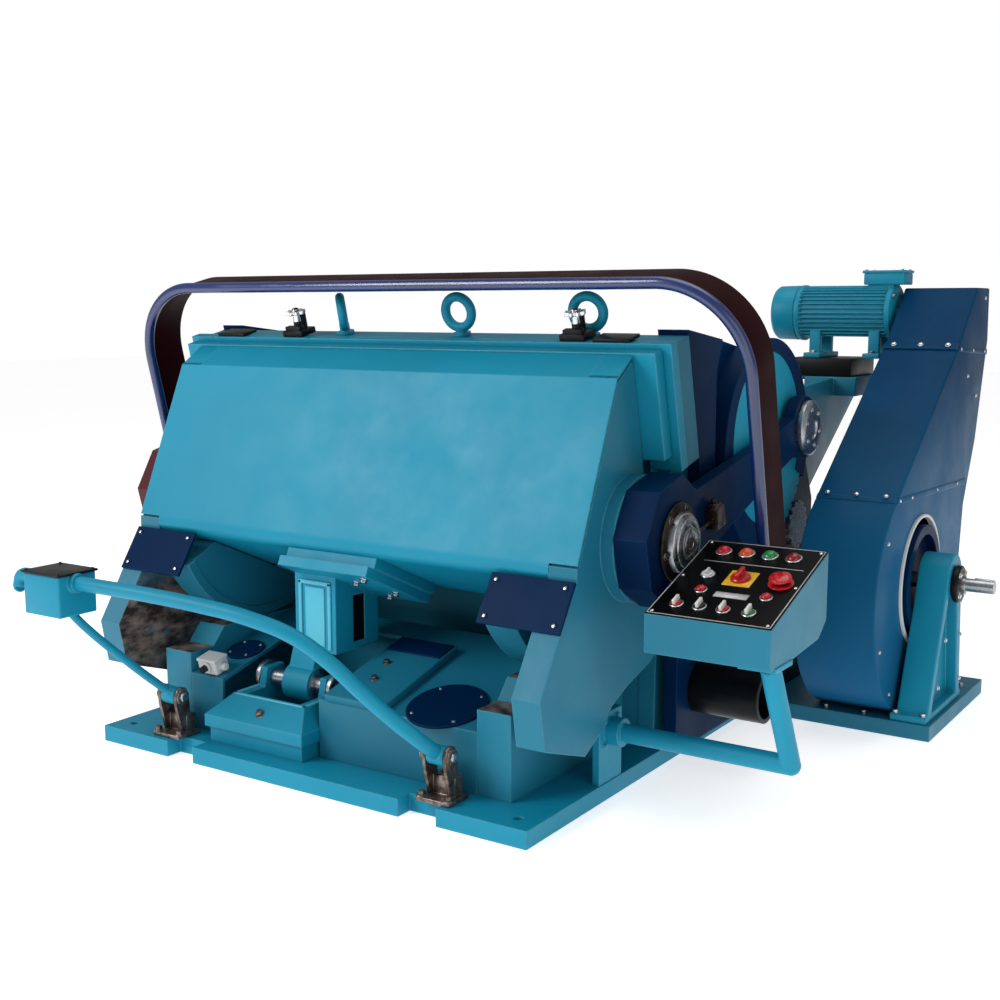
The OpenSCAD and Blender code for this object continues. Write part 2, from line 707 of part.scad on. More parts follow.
slab_y = roll_y - roll_r * sin(under_deg);
slab_z = roll_z - roll_r * cos(under_deg);
column_x0 = -235;
column_x1 = -60;
column_y0 = 295;
column_y1 = 520;
leg_eye_r = 64;
module platen_leg() in_place() {
    color(turquoise) difference() {
        union() {
            translate([-210, slab_y, slab_z]) rotate([-under_deg, 0, 0]) {
                translate([0, -8, -34]) cube([370, 346, 33.8]);
                translate([-10, -27, -67]) cube([370, 363, 33.5]);
            }
            side_extrude(column_x0, column_x1) polygon([[column_y0, 360], [column_y1, 360],
                [column_y1, 530], [column_y0, 628]]);
            side_extrude(leg_x0 + 4, leg_x1 - 4) polygon([[pivot_y - 40, pivot_z + 20],
                [pivot_y + 40, pivot_z + 20], [column_y0 + 150, 362], [column_y0 + 10, 362]]);
            xrod(leg_eye_r, leg_x0, leg_x1, pivot_y, pivot_z);
        }
        xrod(pivot_r + run_gap, leg_x0 - 1, leg_x1 + 1, pivot_y, pivot_z);
        translate([column_x1 - 30, column_y0 + 90, 385]) cube([31, 60, 160]);
    }
}
module platen_journals() in_place() {
    color(steel) both_sides() {
        xrod(journal_r, cheek_in + 1, rod_out + 40, journal_y, journal_z);
        xrod(journal_r + 6, rod_out + 37, rod_out + 46, journal_y, journal_z);
    }
}

// ---- pull rods ----
module rod_place() translate([0, journal_y, journal_z]) rotate([rod_deg, 0, 0]) children();
hub_in = boss_out + 2;
module pull_rod() {
    rod_place() difference() {
        union() {
            rotate([0, 90, 0]) rotate([0, 0, 22.5]) translate([0, 0, hub_in])
                cylinder(r = hub_w / 2 / cos(22.5), h = rod_out - hub_in, $fn = 8);
            side_extrude(rod_in, rod_out) polygon([[0, -150], [140, -118], [800, -72], [rod_l - 30, -66],
                [rod_l - 30, 66], [800, 60], [140, 108], [0, 120]]);
            xrod(big_end_r, rod_in, rod_out, rod_l, 0);
        }
        xrod(journal_r + run_gap, hub_in - 1, rod_out + 1, 0, 0);
        xrod(crank_pin_r, rod_in - 1, rod_out + 1, rod_l, 0);
    }
}
module rod_fittings() {
    rod_place() {
        color(dark) difference() {
            union() {
                xrod(122, rod_out, rod_out + 14, 0, 0);
                xrod(92, rod_out + 14 - eps, rod_out + 36, 0, 0);
            }
            xrod(journal_r + run_gap, rod_out - 1, rod_out + 60, 0, 0);
        }
        color(dark) translate([rod_out, 196, -40]) cube([46, 60, 68]);
        color(steel) xrod(crank_pin_r, rod_in - 7, rod_out, rod_l, 0);
        color(steel) xrod(94, rod_out, rod_out + 30, rod_l, 0);
        color(steel) for (a = [0 : 60 : 300])
            translate([rod_out + 14, 107 * cos(a), 107 * sin(a)]) bolt_head(8, 6);
    }
}
module left_pull_rod() in_place() color(navy) mirror([1, 0, 0]) pull_rod();
module right_pull_rod() in_place() color(navy) pull_rod();
module left_rod_fittings() in_place() mirror([1, 0, 0]) rod_fittings();
module right_rod_fittings() in_place() rod_fittings();

// ---- safety hoop ----
pin_out = hoop_w / 2 + 16;
module safety_hoop() in_place() {
    side = (hoop_bead - hoop_t) / 2;
    color("#2c1a1d") translate([0, hoop_py, hoop_pz]) rotate([lean, 0, 0]) difference() {
        union() {
            hoop_band(hoop_d / 2, hoop_d, 0, hoop_t);
            hoop_band(hoop_bead - hoop_d / 2, hoop_bead, side, hoop_bead);
        }
        xrod(22 + run_gap, -hoop_w, hoop_w, 0, 0);
    }
}
// A band d wide that follows the hoop: its front face is at -y, its outer face stands out by side
module hoop_band(y, d, side, t) {
    translate([0, y, 0]) rotate([90, 0, 0]) linear_extrude(d) difference() {
        hoop_outline(hoop_w / 2 + side, hoop_h + side, hoop_r + side);
        hoop_outline(hoop_w / 2 + side - t, hoop_h + side - t, hoop_r + side - t);
        translate([-2000, -1000]) square([4000, 1000 - 60]);
    }
}
// The outline of an inverted U, w to each side and h high, with rounded upper corners
module hoop_outline(w, h, r) {
    translate([-w, -400]) square([2 * w, 400 + h - r]);
    translate([-w + r, 0]) square([2 * w - 2 * r, h]);
    for (sx = [-1, 1]) translate([sx * (w - r), h - r]) circle(r = r, $fn = 96);
}

// ---- front bail ----
bail_y = 62;
bail_z = 195;
bail_right = [530, bail_y, bail_z];
bail_left = [-590, bail_y, bail_z];
station_x0 = -800;
station_x1 = -630;
bail_route = [bail_right, [524, -12, 250], [442, -50, 318], [365, -100, 402], [290, -148, 488],
    [205, -195, 558], [63, -235, 604], [-115, -260, 626], [-307, -278, 637], [-515, -290, 641],
    [-600, -290, 641], [-905, -290, 641]];
brace_route = [bail_left, [-640, -60, 315], [-700, -210, 478], [-712, -246, 524]];
module front_bail() in_place() {
    color(turquoise) difference() {
        union() {
            pipe(bail_route, bail_r);
            pipe(brace_route, brace_r);
            xrod(30, 500, 560, bail_y, bail_z);
            xrod(30, -620, -560, bail_y, bail_z);
        }
        xrod(14 + run_gap, -700, 700, bail_y, bail_z);
    }
}
module station_box() in_place() {
    color(turquoise) difference() {
        translate([station_x0, -355, 535]) cube([170, 145, 132]);
        xrod(bail_r + 0.1, -1000, -400, bail_route[10][1], bail_route[10][2]);
    }
    color(dark) translate([station_x0 - 6, -361, 667]) cube([182, 157, 8]);
}
module bail_brackets() in_place() {
    color(dark) for (x = [486, 562, -634, -558]) translate([x, 0, 0]) difference() {
        side_extrude(0, 12) polygon([[bail_y, base_t], [bail_y + 50, base_t], [bail_y + 26, bail_z + 26],
            [bail_y - 26, bail_z + 26], [bail_y - 26, bail_z - 20]]);
        xrod(14, -1, 13, bail_y, bail_z);
    }
    color(steel) {
        xrod(14, 470, 588, bail_y, bail_z);
        xrod(14, -650, -532, bail_y, bail_z);
    }
}
plunger_r = 12;
module limit_switch() in_place() {
    color("#e4e4e0") on_deck(-565, 165) difference() {
        cube([84, 62, 56]);
        translate([44, -1, 30]) rotate([-90, 0, 0]) cylinder(r = plunger_r + run_gap, h = 41);
    }
}
module switch_plunger() in_place() {
    color(dark) on_deck(-565, 165) translate([44, -28, 30]) rotate([-90, 0, 0])
        cylinder(r = plunger_r, h = 56);
}

// ---- controls ----
arm_y = 490;
arm_z = 215;
arm_x1 = 1450;
riser_top = [1440, 340, box_z0];
module control_arm() in_place() {
    color(turquoise) {
        translate([846, arm_y - 70, base_t]) cube([24, 140, 222]);
        xrod(44, 870, 916, arm_y, arm_z);
        pipe([[915, arm_y, arm_z], [arm_x1, arm_y, arm_z], riser_top - [0, 0, 15]], arm_r);
        translate(riser_top - [70, 60, 14]) cube([110, 120, 14]);
    }
    color(steel) for (a = [45 : 90 : 315])
        translate([870, arm_y + 56 * cos(a), arm_z + 56 * sin(a)]) bolt_head(9, 8);
}
rise = box_d * tan(panel_tilt);
module control_box() in_place() {
    color(teal) difference() {
        side_extrude(box_x0, box_x1) polygon([[box_y0, box_z0], [box_y0 + 170, box_z0],
            [box_y0 + box_d - 60, box_z0 + 15], [box_y0 + box_d, box_z0 + 60],
            [box_y0 + box_d, panel_z0 + rise], [box_y0, panel_z0]]);
        side_extrude(box_x0 + 4, box_x1 - 4) polygon([[box_y0 + 4, box_z0 + 4], [box_y0 + 170, box_z0 + 4],
            [box_y0 + box_d - 62, box_z0 + 20], [box_y0 + box_d - 4, box_z0 + 64],
            [box_y0 + box_d - 4, panel_z0 + rise + 20], [box_y0 + 4, panel_z0 + 20]]);
    }
}
// Places a piece on the panel, u along X from its left edge, v up the slope from its front edge
module on_panel(u, v) {
    translate([box_x0, box_y0, panel_z0]) rotate([panel_tilt, 0, 0]) translate([u, v, panel_t]) children();
}
panel_t = 3;
panel_v = box_d / cos(panel_tilt);
control_r = 11;
selector_u = [70, 140, 210, 285];
selector_v = 62;
module control_hole(u, v) {
    on_panel(u, v) translate([0, 0, -20]) cylinder(r = control_r + run_gap, h = 40);
}
module control_panel() in_place() {
    color("black") difference() {
        translate([box_x0, box_y0, panel_z0]) rotate([panel_tilt, 0, 0]) cube([box_w, panel_v, panel_t]);
        for (u = selector_u) control_hole(u, selector_v);
        for (u = button_u) control_hole(u, button_v);
        control_hole(190, 235);
        control_hole(310, 235);
    }
    for (i = [0 : 3]) color(i % 2 ? "green" : "red") difference() {
        on_panel(selector_u[i], selector_v) cylinder(r = 19, h = 6);
        control_hole(selector_u[i], selector_v);
    }
    color("yellow") difference() {
        on_panel(190 - 40, 235 - 40) cube([80, 80, 4]);
        control_hole(190, 235);
    }
}
module pilot_lamps() in_place() {
    for (i = [0 : 3]) on_panel(78 + 72 * i, 375) {
        color(steel) cylinder(r = 17, h = 5);
        color(["red", "orange", "green", "darkred"][i]) translate([0, 0, 5]) cylinder(r = 13, h = 9);
    }
}
button_u = [105, 300];
button_v = 150;
module push_button(i) {
    color("red") on_panel(button_u[i], button_v) {
        translate([0, 0, -16]) cylinder(r = control_r, h = 16 + press + 5);
        translate([0, 0, press + 4]) cylinder(r = 16, h = 7);
    }
}
module push_button_1() in_place() push_button(0);
module push_button_2() in_place() push_button(1);
module selector(i) {
    color(dark) on_panel(selector_u[i], selector_v) {
        translate([0, 0, -16]) cylinder(r = control_r, h = 24);
        translate([0, 0, 7]) cylinder(r = 15, h = 8);
        translate([-4.5, -16, 14]) cube([9, 32, 12]);
    }
}
module selector_1() in_place() selector(0);
module selector_2() in_place() selector(1);
module selector_3() in_place() selector(2);
module selector_4() in_place() selector(3);
module main_switch() in_place() {
    color("red") on_panel(190, 235) {
        translate([0, 0, -16]) cylinder(r = control_r, h = 24);
        translate([0, 0, 5]) cylinder(r = 26, h = 10);
        translate([-6, -22, 14]) cube([12, 44, 16]);
    }
}
module stop_button() in_place() {
    color("red") on_panel(310, 235) {
        translate([0, 0, -16]) cylinder(r = control_r, h = 16 + press + 9);
        translate([0, 0, press + 8]) cylinder(r = 28, h = 14);
    }
}

base_plate();
rails();
deck_plate();
deck_covers();
platform_plate();
pivot_housing();
pivot_shaft();
side_frames();
tie_tube();
bed();
die_chase();
chase_clamps();
left_clamp_knob();
right_clamp_knob();
eye_bolts();
gear_guards();
motor();
motor_slide_base();
motor_shaft();
belt_guard();
sole_plate();
bearing_bracket();
outboard_bearing();
flywheel();
flywheel_shaft();
clutch_pinion();
countershaft();
crankshaft();
bull_gears();
platen();
platen_cover();
left_cheek();
right_cheek();
rockers();
rocker_treads();
cheek_covers();
platen_leg();
platen_journals();
left_pull_rod();
right_pull_rod();
left_rod_fittings();
right_rod_fittings();
safety_hoop();
front_bail();
station_box();
bail_brackets();
limit_switch();
switch_plunger();
control_arm();
control_box();
control_panel();
pilot_lamps();
selector_1();
selector_2();
selector_3();
selector_4();
main_switch();
stop_button();
push_button_1();
push_button_2();
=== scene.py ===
# %% [markdown]
# # Platen press: looks
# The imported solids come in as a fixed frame. Some of them only need a finish. Others are modelled
# again here, because a real guard, hoop or push button has rounded edges, seams and screws that
# the plain solids leave out. Lengths are written in millimetres and turned into metres once.

# %% Load the frame
import bpy, json, math
from mathutils import Matrix, Vector


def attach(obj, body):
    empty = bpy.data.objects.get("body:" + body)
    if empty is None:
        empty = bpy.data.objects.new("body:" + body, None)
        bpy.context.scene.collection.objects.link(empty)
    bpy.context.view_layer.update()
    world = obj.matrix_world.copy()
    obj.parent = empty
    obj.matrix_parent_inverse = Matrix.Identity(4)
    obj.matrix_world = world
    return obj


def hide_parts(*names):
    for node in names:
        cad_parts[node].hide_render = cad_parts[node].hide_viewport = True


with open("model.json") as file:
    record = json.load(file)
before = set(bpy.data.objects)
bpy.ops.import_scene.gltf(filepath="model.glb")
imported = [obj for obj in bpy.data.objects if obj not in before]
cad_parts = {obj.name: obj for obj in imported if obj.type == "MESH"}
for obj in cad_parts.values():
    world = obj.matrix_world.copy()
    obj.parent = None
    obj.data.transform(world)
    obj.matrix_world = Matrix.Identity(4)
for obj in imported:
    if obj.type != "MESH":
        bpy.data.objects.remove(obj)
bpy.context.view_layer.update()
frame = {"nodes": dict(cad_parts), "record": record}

# %% [markdown]
# ## Places
# The drawing is measured from the press's front edge, and the frame's origin lies between the two
# front anchor holes, 72 mm further back. `row` does that shift. The leaning parts have frames of
# their own, so that a piece can be placed in the same flat numbers as in the drawing.

# %% Places and frames
MM = 0.001
FRONT = 72.0

# Axes that run along X, as (y, z) on the drawing.
JOURNAL = (550, 810)    # where each pull rod holds the platen
CRANK = (1383, 1025)    # crankshaft
PIVOT = (310, 240)      # pivot shaft under the platen's leg
HINGE = (62, 195)       # hinge pins of the front bail
DRIVE = (1870, 510)     # flywheel shaft
MOTOR = (2500, 1480)    # motor shaft


def row(x, y, z):
    """A place on the drawing, in mm, as a point of the scene."""
    return Vector((x, y - FRONT, z)) * MM


def upright(x, y, z):
    """The upright frame at a place on the drawing."""
    return Matrix.Translation(row(x, y, z))


def rotation(degrees, axis):
    return Matrix.Rotation(math.radians(degrees), 4, axis)


def tilted(x, y, z, degrees):
    """The frame of a part that leans about X."""
    return upright(x, y, z) @ rotation(degrees, "X")


def moved(frame_of, x, y, z):
    """A frame moved along its own axes, in mm."""
    return frame_of @ Matrix.Translation(Vector((x, y, z)) * MM)


def spot(frame_of, x, y, z):
    """A point of a frame, in mm."""
    return frame_of @ (Vector((x, y, z)) * MM)


def arc(centre, radius_mm, angles):
    """Points on a circle at angles in degrees."""
    return [(centre[0] + radius_mm * math.cos(math.radians(a)),
             centre[1] + radius_mm * math.sin(math.radians(a))) for a in angles]


def ring_of(centre, radius_mm, count, start=0.0):
    """Points spread evenly round a circle."""
    return arc(centre, radius_mm, [start + 360 * i / count for i in range(count)])


LEAN, DECK_TILT, PANEL_TILT = 13.6, 14.5, 19.0
ROD_TILT = math.degrees(math.atan2(CRANK[1] - JOURNAL[1], CRANK[0] - JOURNAL[0]))
DECK_FOOT = (157, 250)    # y and z where the sloping deck starts
DRAWING = upright(0, 0, 0)
DIE = tilted(0, 643, 1190, LEAN)
HOOP = tilted(0, 895, 450, LEAN)
PANEL = tilted(1104, 245, 660, PANEL_TILT)
ROD = tilted(0, *JOURNAL, ROD_TILT)
MIRROR = Matrix.Diagonal((-1, 1, 1, 1))
SIDEWAYS = rotation(90, "Y")        # turns a bolt's Z towards +X
UPSIDE_DOWN = rotation(180, "X")


def deck(x, y):
    """The frame of a fitting that stands on the sloping deck."""
    rise = (y - DECK_FOOT[0]) * math.tan(math.radians(DECK_TILT))
    return tilted(x, y, DECK_FOOT[1] + rise, DECK_TILT)


def facing_right(x, y, z):
    """The frame of a bolt whose head looks to the right."""
    return upright(x, y, z) @ SIDEWAYS


# %% [markdown]
# ## Camera
# The camera stands 1.5 m above the floor at the operator's right, with a normal lens.

# %% Camera
CAMERA_PLACE = Vector((2.7615, -3.072, 1.5))
TURN, DROP = math.radians(33.38), math.radians(-8.20)
lens = bpy.data.cameras.new("camera")
lens.sensor_width = 36.0
lens.lens = 47.97
camera = bpy.data.objects.new("camera", lens)
bpy.context.scene.collection.objects.link(camera)
look = Vector((-math.sin(TURN) * math.cos(DROP), math.cos(TURN) * math.cos(DROP), math.sin(DROP)))
camera.location = CAMERA_PLACE
camera.rotation_euler = look.to_track_quat("-Z", "Y").to_euler()
bpy.context.scene.camera = camera

# %% [markdown]
# ## Finishes
# A press is brush-painted cast iron and plate, with bare steel where parts slide. Each finish is
# worked out from object coordinates, in metres, so 1000 / size gives a noise scale for a feature
# of that many millimetres. A mask can limit another one, by being its highest value.

# %% Node helpers
def lin(hexcol):
    """Hex sRGB to the linear RGBA that shader sockets take."""
    v = [int(hexcol[i:i + 2], 16) / 255 for i in (1, 3, 5)]
    return tuple([c / 12.92 if c <= 0.04045 else ((c + 0.055) / 1.055) ** 2.4 for c in v] + [1.0])


def add(tree, kind, inputs=None, **settings):
    """Adds one node; inputs maps socket names or numbers to values or to other nodes' sockets."""
    made = tree.nodes.new(kind)
    for key, value in settings.items():
        setattr(made, key, value)
    for key, value in (inputs or {}).items():
        if isinstance(value, bpy.types.NodeSocket):
            tree.links.new(value, made.inputs[key])
        else:
            made.inputs[key].default_value = value
    return made


def begin(name):
    """A new material with its tree and shader, and the socket for place."""
    mat = bpy.data.materials.new(name)
    mat.use_nodes = True
    tree = mat.node_tree
    tree.nodes.clear()
    shader = add(tree, "ShaderNodeBsdfPrincipled")
    tree.links.new(shader.outputs[0], add(tree, "ShaderNodeOutputMaterial").inputs[0])
    return mat, tree, shader, add(tree, "ShaderNodeTexCoord").outputs["Object"]


def dress(tree, shader, colour, gloss, relief):
    """Links a finish's colour, gloss and relief to its shader."""
    for source, socket in ((colour, "Base Color"), (gloss, "Roughness"), (relief, "Normal")):
        tree.links.new(source, shader.inputs[socket])


def patches(tree, place, size_mm, low, high, detail=4.0, stretch=(1, 1, 1), least=0.0, most=1.0):
    """Noise patches of one size, from least to most; most may be another mask."""
    stretched = add(tree, "ShaderNodeMapping", {"Vector": place, "Scale": stretch})
    grain = add(tree, "ShaderNodeTexNoise",
                {"Vector": stretched.outputs[0], "Scale": 1000.0 / size_mm,
                 "Detail": detail, "Roughness": 0.6})
    return add(tree, "ShaderNodeMapRange",
               {"Value": grain.outputs["Fac"], "From Min": low, "From Max": high,
                "To Min": least, "To Max": most}).outputs[0]


def layered(tree, ground, *layers):
    """Colours laid over a ground, each one where its mask is high."""
    for mask, layer in layers:
        ground = add(tree, "ShaderNodeMix", {0: mask, 6: ground, 7: layer},
                     data_type="RGBA").outputs[2]
    return ground


def edges(tree, width_mm, most):
    """A mask along a body's edges, and the rounded normal that it is read from."""
    soft = add(tree, "ShaderNodeBevel", {"Radius": width_mm * MM}, samples=4).outputs[0]
    flat = add(tree, "ShaderNodeNewGeometry").outputs["Normal"]
    dot = add(tree, "ShaderNodeVectorMath", {0: soft, 1: flat},
              operation="DOT_PRODUCT").outputs["Value"]
    return add(tree, "ShaderNodeMapRange",
               {"Value": dot, "From Min": 0.985, "From Max": 0.80, "To Max": most}).outputs[0], soft


# %% [markdown]
# ## Machine enamel
# Air-drying enamel is put on by brush and spray over filled castings: broad tone changes, fine
# orange peel, and pale edges, partly worn thin and partly a painted highlight. `grease` adds the
# brown film that oil and dust leave where parts slide, on the faces that a rule in object
# coordinates picks out.

# %% Enamel
def enamel(name, paint, edge, shade, rough=0.38, wear_and_highlight=0.5, fade=None, grease=None, shine=0.4):
    """Paint; fade is (from mm, to mm, colour) of painted shade up the piece, and grease gives a
    mask.
    """
    mat, tree, shader, place = begin(name)
    # The tone drifts over nearly a metre, so a broad face isn't one flat colour.
    drift = patches(tree, place, 900, 0.25, 0.75, 2.0)
    colour = layered(tree, lin(shade), (drift, lin(paint)))
    if fade:
        # Painted shade: the colour darkens with height, as less light falls on the top.
        height = add(tree, "ShaderNodeSeparateXYZ", {0: place}).outputs[2]
        up = add(tree, "ShaderNodeMapRange",
                 {"Value": height, "From Min": fade[0] * MM, "From Max": fade[1] * MM}).outputs[0]
        colour = layered(tree, colour, (up, lin(fade[2])))
    # Upright runs show the brush's way. The pale edges are partly paint worn thin and partly a
    # painted highlight, where an edge would catch the light.
    runs = patches(tree, place, 110, 0.55, 0.85, 6.0, (1, 1, 0.2), most=0.22)
    rim, soft = edges(tree, 7, wear_and_highlight)
    worn = patches(tree, place, 22, 0.15, 0.55, 5.0, most=rim)
    colour = layered(tree, colour, (runs, lin(shade)), (worn, lin(edge)))
    if grease:
        # A brown film, darker where it is thick.
        film = patches(tree, place, 60, 0.20, 0.38, 6.0, most=grease(tree, place))
        thin = patches(tree, place, 70, 0.40, 0.66, 8.0, (1, 1, 2.2))
        oil = layered(tree, lin("#2e2420"), (thin, lin("#8a7a72")))
        colour = layered(tree, colour, (film, oil))
    # Hands and cloths leave the sheen uneven, and orange peel breaks up the highlights.
    gloss = patches(tree, place, 160, 0.3, 0.75, 5.0, least=rough - 0.07, most=rough + 0.12)
    peel = add(tree, "ShaderNodeTexNoise", {"Vector": place, "Scale": 1000.0 / 4.0, "Detail": 2.0})
    bump = add(tree, "ShaderNodeBump", {"Strength": 0.10, "Distance": 0.001,
                                        "Height": peel.outputs["Fac"], "Normal": soft})
    dress(tree, shader, colour, gloss, bump.outputs[0])
    shader.inputs["Specular IOR Level"].default_value = shine
    return mat


INNER_SIDE = 0.8075                   # half the distance between the rockers, with a little over
OIL_TOP, OIL_THICK = 0.62, 0.50       # heights where the oil starts to show and is all over


def inner_faces(tree, place):
    """The side of each rocker that faces the other one, low down."""
    xyz = add(tree, "ShaderNodeSeparateXYZ", {0: place})
    out = add(tree, "ShaderNodeMath", {0: xyz.outputs[0]}, operation="ABSOLUTE").outputs[0]
    inside = add(tree, "ShaderNodeMath", {0: out, 1: INNER_SIDE}, operation="LESS_THAN").outputs[0]
    return add(tree, "ShaderNodeMapRange",
               {"Value": xyz.outputs[2], "From Min": OIL_TOP, "From Max": OIL_THICK,
                "To Max": inside}).outputs[0]


def tops(tree, place):
    """Faces that look up, where the rockers roll."""
    normal = add(tree, "ShaderNodeNewGeometry").outputs["Normal"]
    up = add(tree, "ShaderNodeSeparateXYZ", {0: normal}).outputs[2]
    return add(tree, "ShaderNodeMapRange",
               {"Value": up, "From Min": 0.80, "From Max": 0.95}).outputs[0]


# %% [markdown]
# ## Bare metal and plastic
# Turned steel keeps fine tool marks. Cast iron and forged fittings hold oil, so they read brown.
# Switch parts are moulded plastic with a fine grain.

# %% Metal and plastic
def bare_metal(name, clean, dark, rough, metallic=1.0, oil=None, relief=0.04):
    """Metal without paint; oil is the colour of what its pores hold."""
    mat, tree, shader, place = begin(name)
    # Clouded steel, dark oil in its pores, and a pale painted highlight along every edge.
    cloud = patches(tree, place, 45, 0.36, 0.72, 6.0)
    colour = layered(tree, lin(clean), (cloud, lin(dark)))
    if oil:
        colour = layered(tree, colour, (patches(tree, place, 24, 0.46, 0.66, 6.0), lin(oil)))
    rim, soft = edges(tree, 2, 0.45)
    colour = layered(tree, colour, (rim, lin("#dcdcdc")))
    # The same marks roughen the gloss and raise the surface.
    marks = patches(tree, place, 9.6, 0.25, 0.8, 5.0)
    gloss = add(tree, "ShaderNodeMapRange",
                {"Value": marks, "To Min": rough - 0.06, "To Max": rough + 0.16}).outputs[0]
    bump = add(tree, "ShaderNodeBump",
               {"Strength": relief, "Distance": 0.0006, "Height": marks, "Normal": soft})
    dress(tree, shader, colour, gloss, bump.outputs[0])
    shader.inputs["Metallic"].default_value = metallic
    return mat


def moulded(name, plain, worn, rough=0.32, coat=0.3, shine=0.3):
    """Plastic, with a clear coat for lenses and caps."""
    mat, tree, shader, place = begin(name)
    # Fingers dull the caps in patches, and a fine grain keeps them from looking like glass.
    colour = layered(tree, lin(plain), (patches(tree, place, 20, 0.35, 0.75), lin(worn)))
    gloss = patches(tree, place, 9, 0.3, 0.75, least=rough - 0.05, most=rough + 0.12)
    soft = add(tree, "ShaderNodeBevel", {"Radius": 1.0 * MM}, samples=4).outputs[0]
    grain = add(tree, "ShaderNodeTexNoise", {"Vector": place, "Scale": 1000.0, "Detail": 2.0})
    bump = add(tree, "ShaderNodeBump", {"Strength": 0.08, "Distance": 0.0004,
                                        "Height": grain.outputs["Fac"], "Normal": soft})
    dress(tree, shader, colour, gloss, bump.outputs[0])
    shader.inputs["Coat Weight"].default_value = coat
    shader.inputs["Specular IOR Level"].default_value = shine
    return mat


# %% The finishes of this press
# Turquoise and teal for the castings: the lower, shaded ones are the darker teal.
turquoise = enamel("turquoise enamel", "#0f91b0", "#74cce0", "#0c819e", rough=0.44, shine=0.25)
# A lighter copy of the turquoise for raised rims and front faces that catch the light: painted
# highlight.
highlight_paint = enamel("highlight rim enamel", "#58bfd4", "#a8e6f0", "#3ea9c4")
teal = enamel("teal enamel", "#1f7c97", "#5fb9cc", "#196a83", rough=0.44, shine=0.25)
greasy_teal = enamel("greasy teal enamel", "#1f7c97", "#5fb9cc", "#196a83", rough=0.44,
                     grease=inner_faces)
rail_paint = enamel("rail enamel", "#2489a6", "#66c2d4", "#1d7690", rough=0.44, shine=0.25,
                    grease=tops)
# Dark paints for frames, rods and guards, almost without sheen, so they stay deep.
navy = enamel("navy enamel", "#02284e", "#1f5e92", "#021e3f", rough=0.40, wear_and_highlight=0.4, shine=0.05)
# The guard is navy paint, given a lighter blue low down and darkening towards the top: painted
# light and shade, as the light falls on the drum.
guard_painted_light = enamel("guard enamel", "#17608a", "#4590ba", "#13557c",
                    fade=(700, 1250, "#03365a"), shine=0.05)
maroon = enamel("maroon enamel", "#2e0f12", "#55262c", "#220a0d", rough=0.45, wear_and_highlight=0.3, shine=0.02)
hub_maroon = enamel("hub enamel", "#5a1a26", "#8c4450", "#43121c", rough=0.36, wear_and_highlight=0.4, shine=0.2)
bead_blue = enamel("bead enamel", "#0a2a6c", "#5c86c8", "#081f52", rough=0.16, wear_and_highlight=0.3, shine=0.9)
black = enamel("black enamel", "#0b0d10", "#353b42", "#07080a", rough=0.34, shine=0.2)
silver = enamel("silver enamel", "#dfe1e1", "#f8f8f8", "#bfc2c2", rough=0.32, wear_and_highlight=0.4)
# Metals: bright where they are handled or turned, brown where oil stays on a rough casting.
steel = bare_metal("turned steel", "#b2b6ba", "#93979a", 0.26)
bright = bare_metal("polished steel", "#e0e2e3", "#c4c7c9", 0.20)
iron = bare_metal("oiled cast iron", "#8f837d", "#453a36", 0.28, 0.8, "#55402f", 0.2)
bronze = bare_metal("dark bronze", "#4a423c", "#1e1a18", 0.34, 0.85, "#2a201a")
# Plastics of the control panel: a dull sheet, glossy caps and clear-coated lenses.
laminate = moulded("black panel laminate", "#020203", "#060607", 0.34, 0.0, 0.06)
red = moulded("red plastic", "#c8141c", "#960e16", 0.22, 0.5)
dark_red = moulded("dark red lens", "#8c1218", "#5e0b10", 0.18, 0.6)
orange = moulded("orange lens", "#e2571c", "#b23c10", 0.18, 0.6)
green = moulded("green lens", "#1a8c4a", "#0f6432", 0.18, 0.6)
yellow = moulded("yellow plastic", "#e9b913", "#c4960c", 0.30)
black_plastic = moulded("black plastic", "#0e0e10", "#1c1c20", 0.30)
white_plastic = moulded("white plastic", "#e6e4df", "#c4c1b8", 0.30)

SLOT_FINISH = {
    "turquoise_paint": turquoise, "teal_paint": teal, "navy_paint": navy, "maroon_paint": maroon,
    "black_paint": black, "white_paint": silver, "machined_steel": steel, "cast_iron": iron,
    "black_panel": laminate, "red_plastic": red, "black_plastic": black_plastic,
    "lamp_lenses": orange,
}
NODE_FINISH = {"left_cheek": greasy_teal, "rails": rail_paint, "rocker_treads": teal,
               "left_pull_rod": hub_maroon, "belt_guard": guard_painted_light, "sole_plate": teal}
for part in frame["record"]["subparts"]:
    finish = NODE_FINISH.get(part["node"], SLOT_FINISH[part["material_slot"]])
    for slot in frame["nodes"][part["node"]].material_slots:
        slot.material = finish

# %% [markdown]
# ## Modelling helpers
# Each helper starts from one Blender primitive and shapes it the way it is done by hand: add, move
# in edit mode, extrude or spin, then round the edges with a Bevel modifier that is applied.

# %% Shaping
ROUND_OVER, SMOOTH_UNDER = 35, 38    # degrees between faces: edges to round, edges to shade smooth


def pick(obj=None):
    """Leaves edit mode and selects one object alone, or nothing."""
    if bpy.context.object and bpy.context.object.mode != "OBJECT":
        bpy.ops.object.mode_set(mode="OBJECT")
    bpy.ops.object.select_all(action="DESELECT")
    if obj:
        obj.select_set(True)
        bpy.context.view_layer.objects.active = obj


def modify(obj, kind, **settings):
    """Adds one modifier and applies it."""
    pick(obj)
    made = obj.modifiers.new(kind.lower(), kind)
    for key, value in settings.items():
        setattr(made, key, value)
    bpy.ops.object.modifier_apply(modifier=made.name)


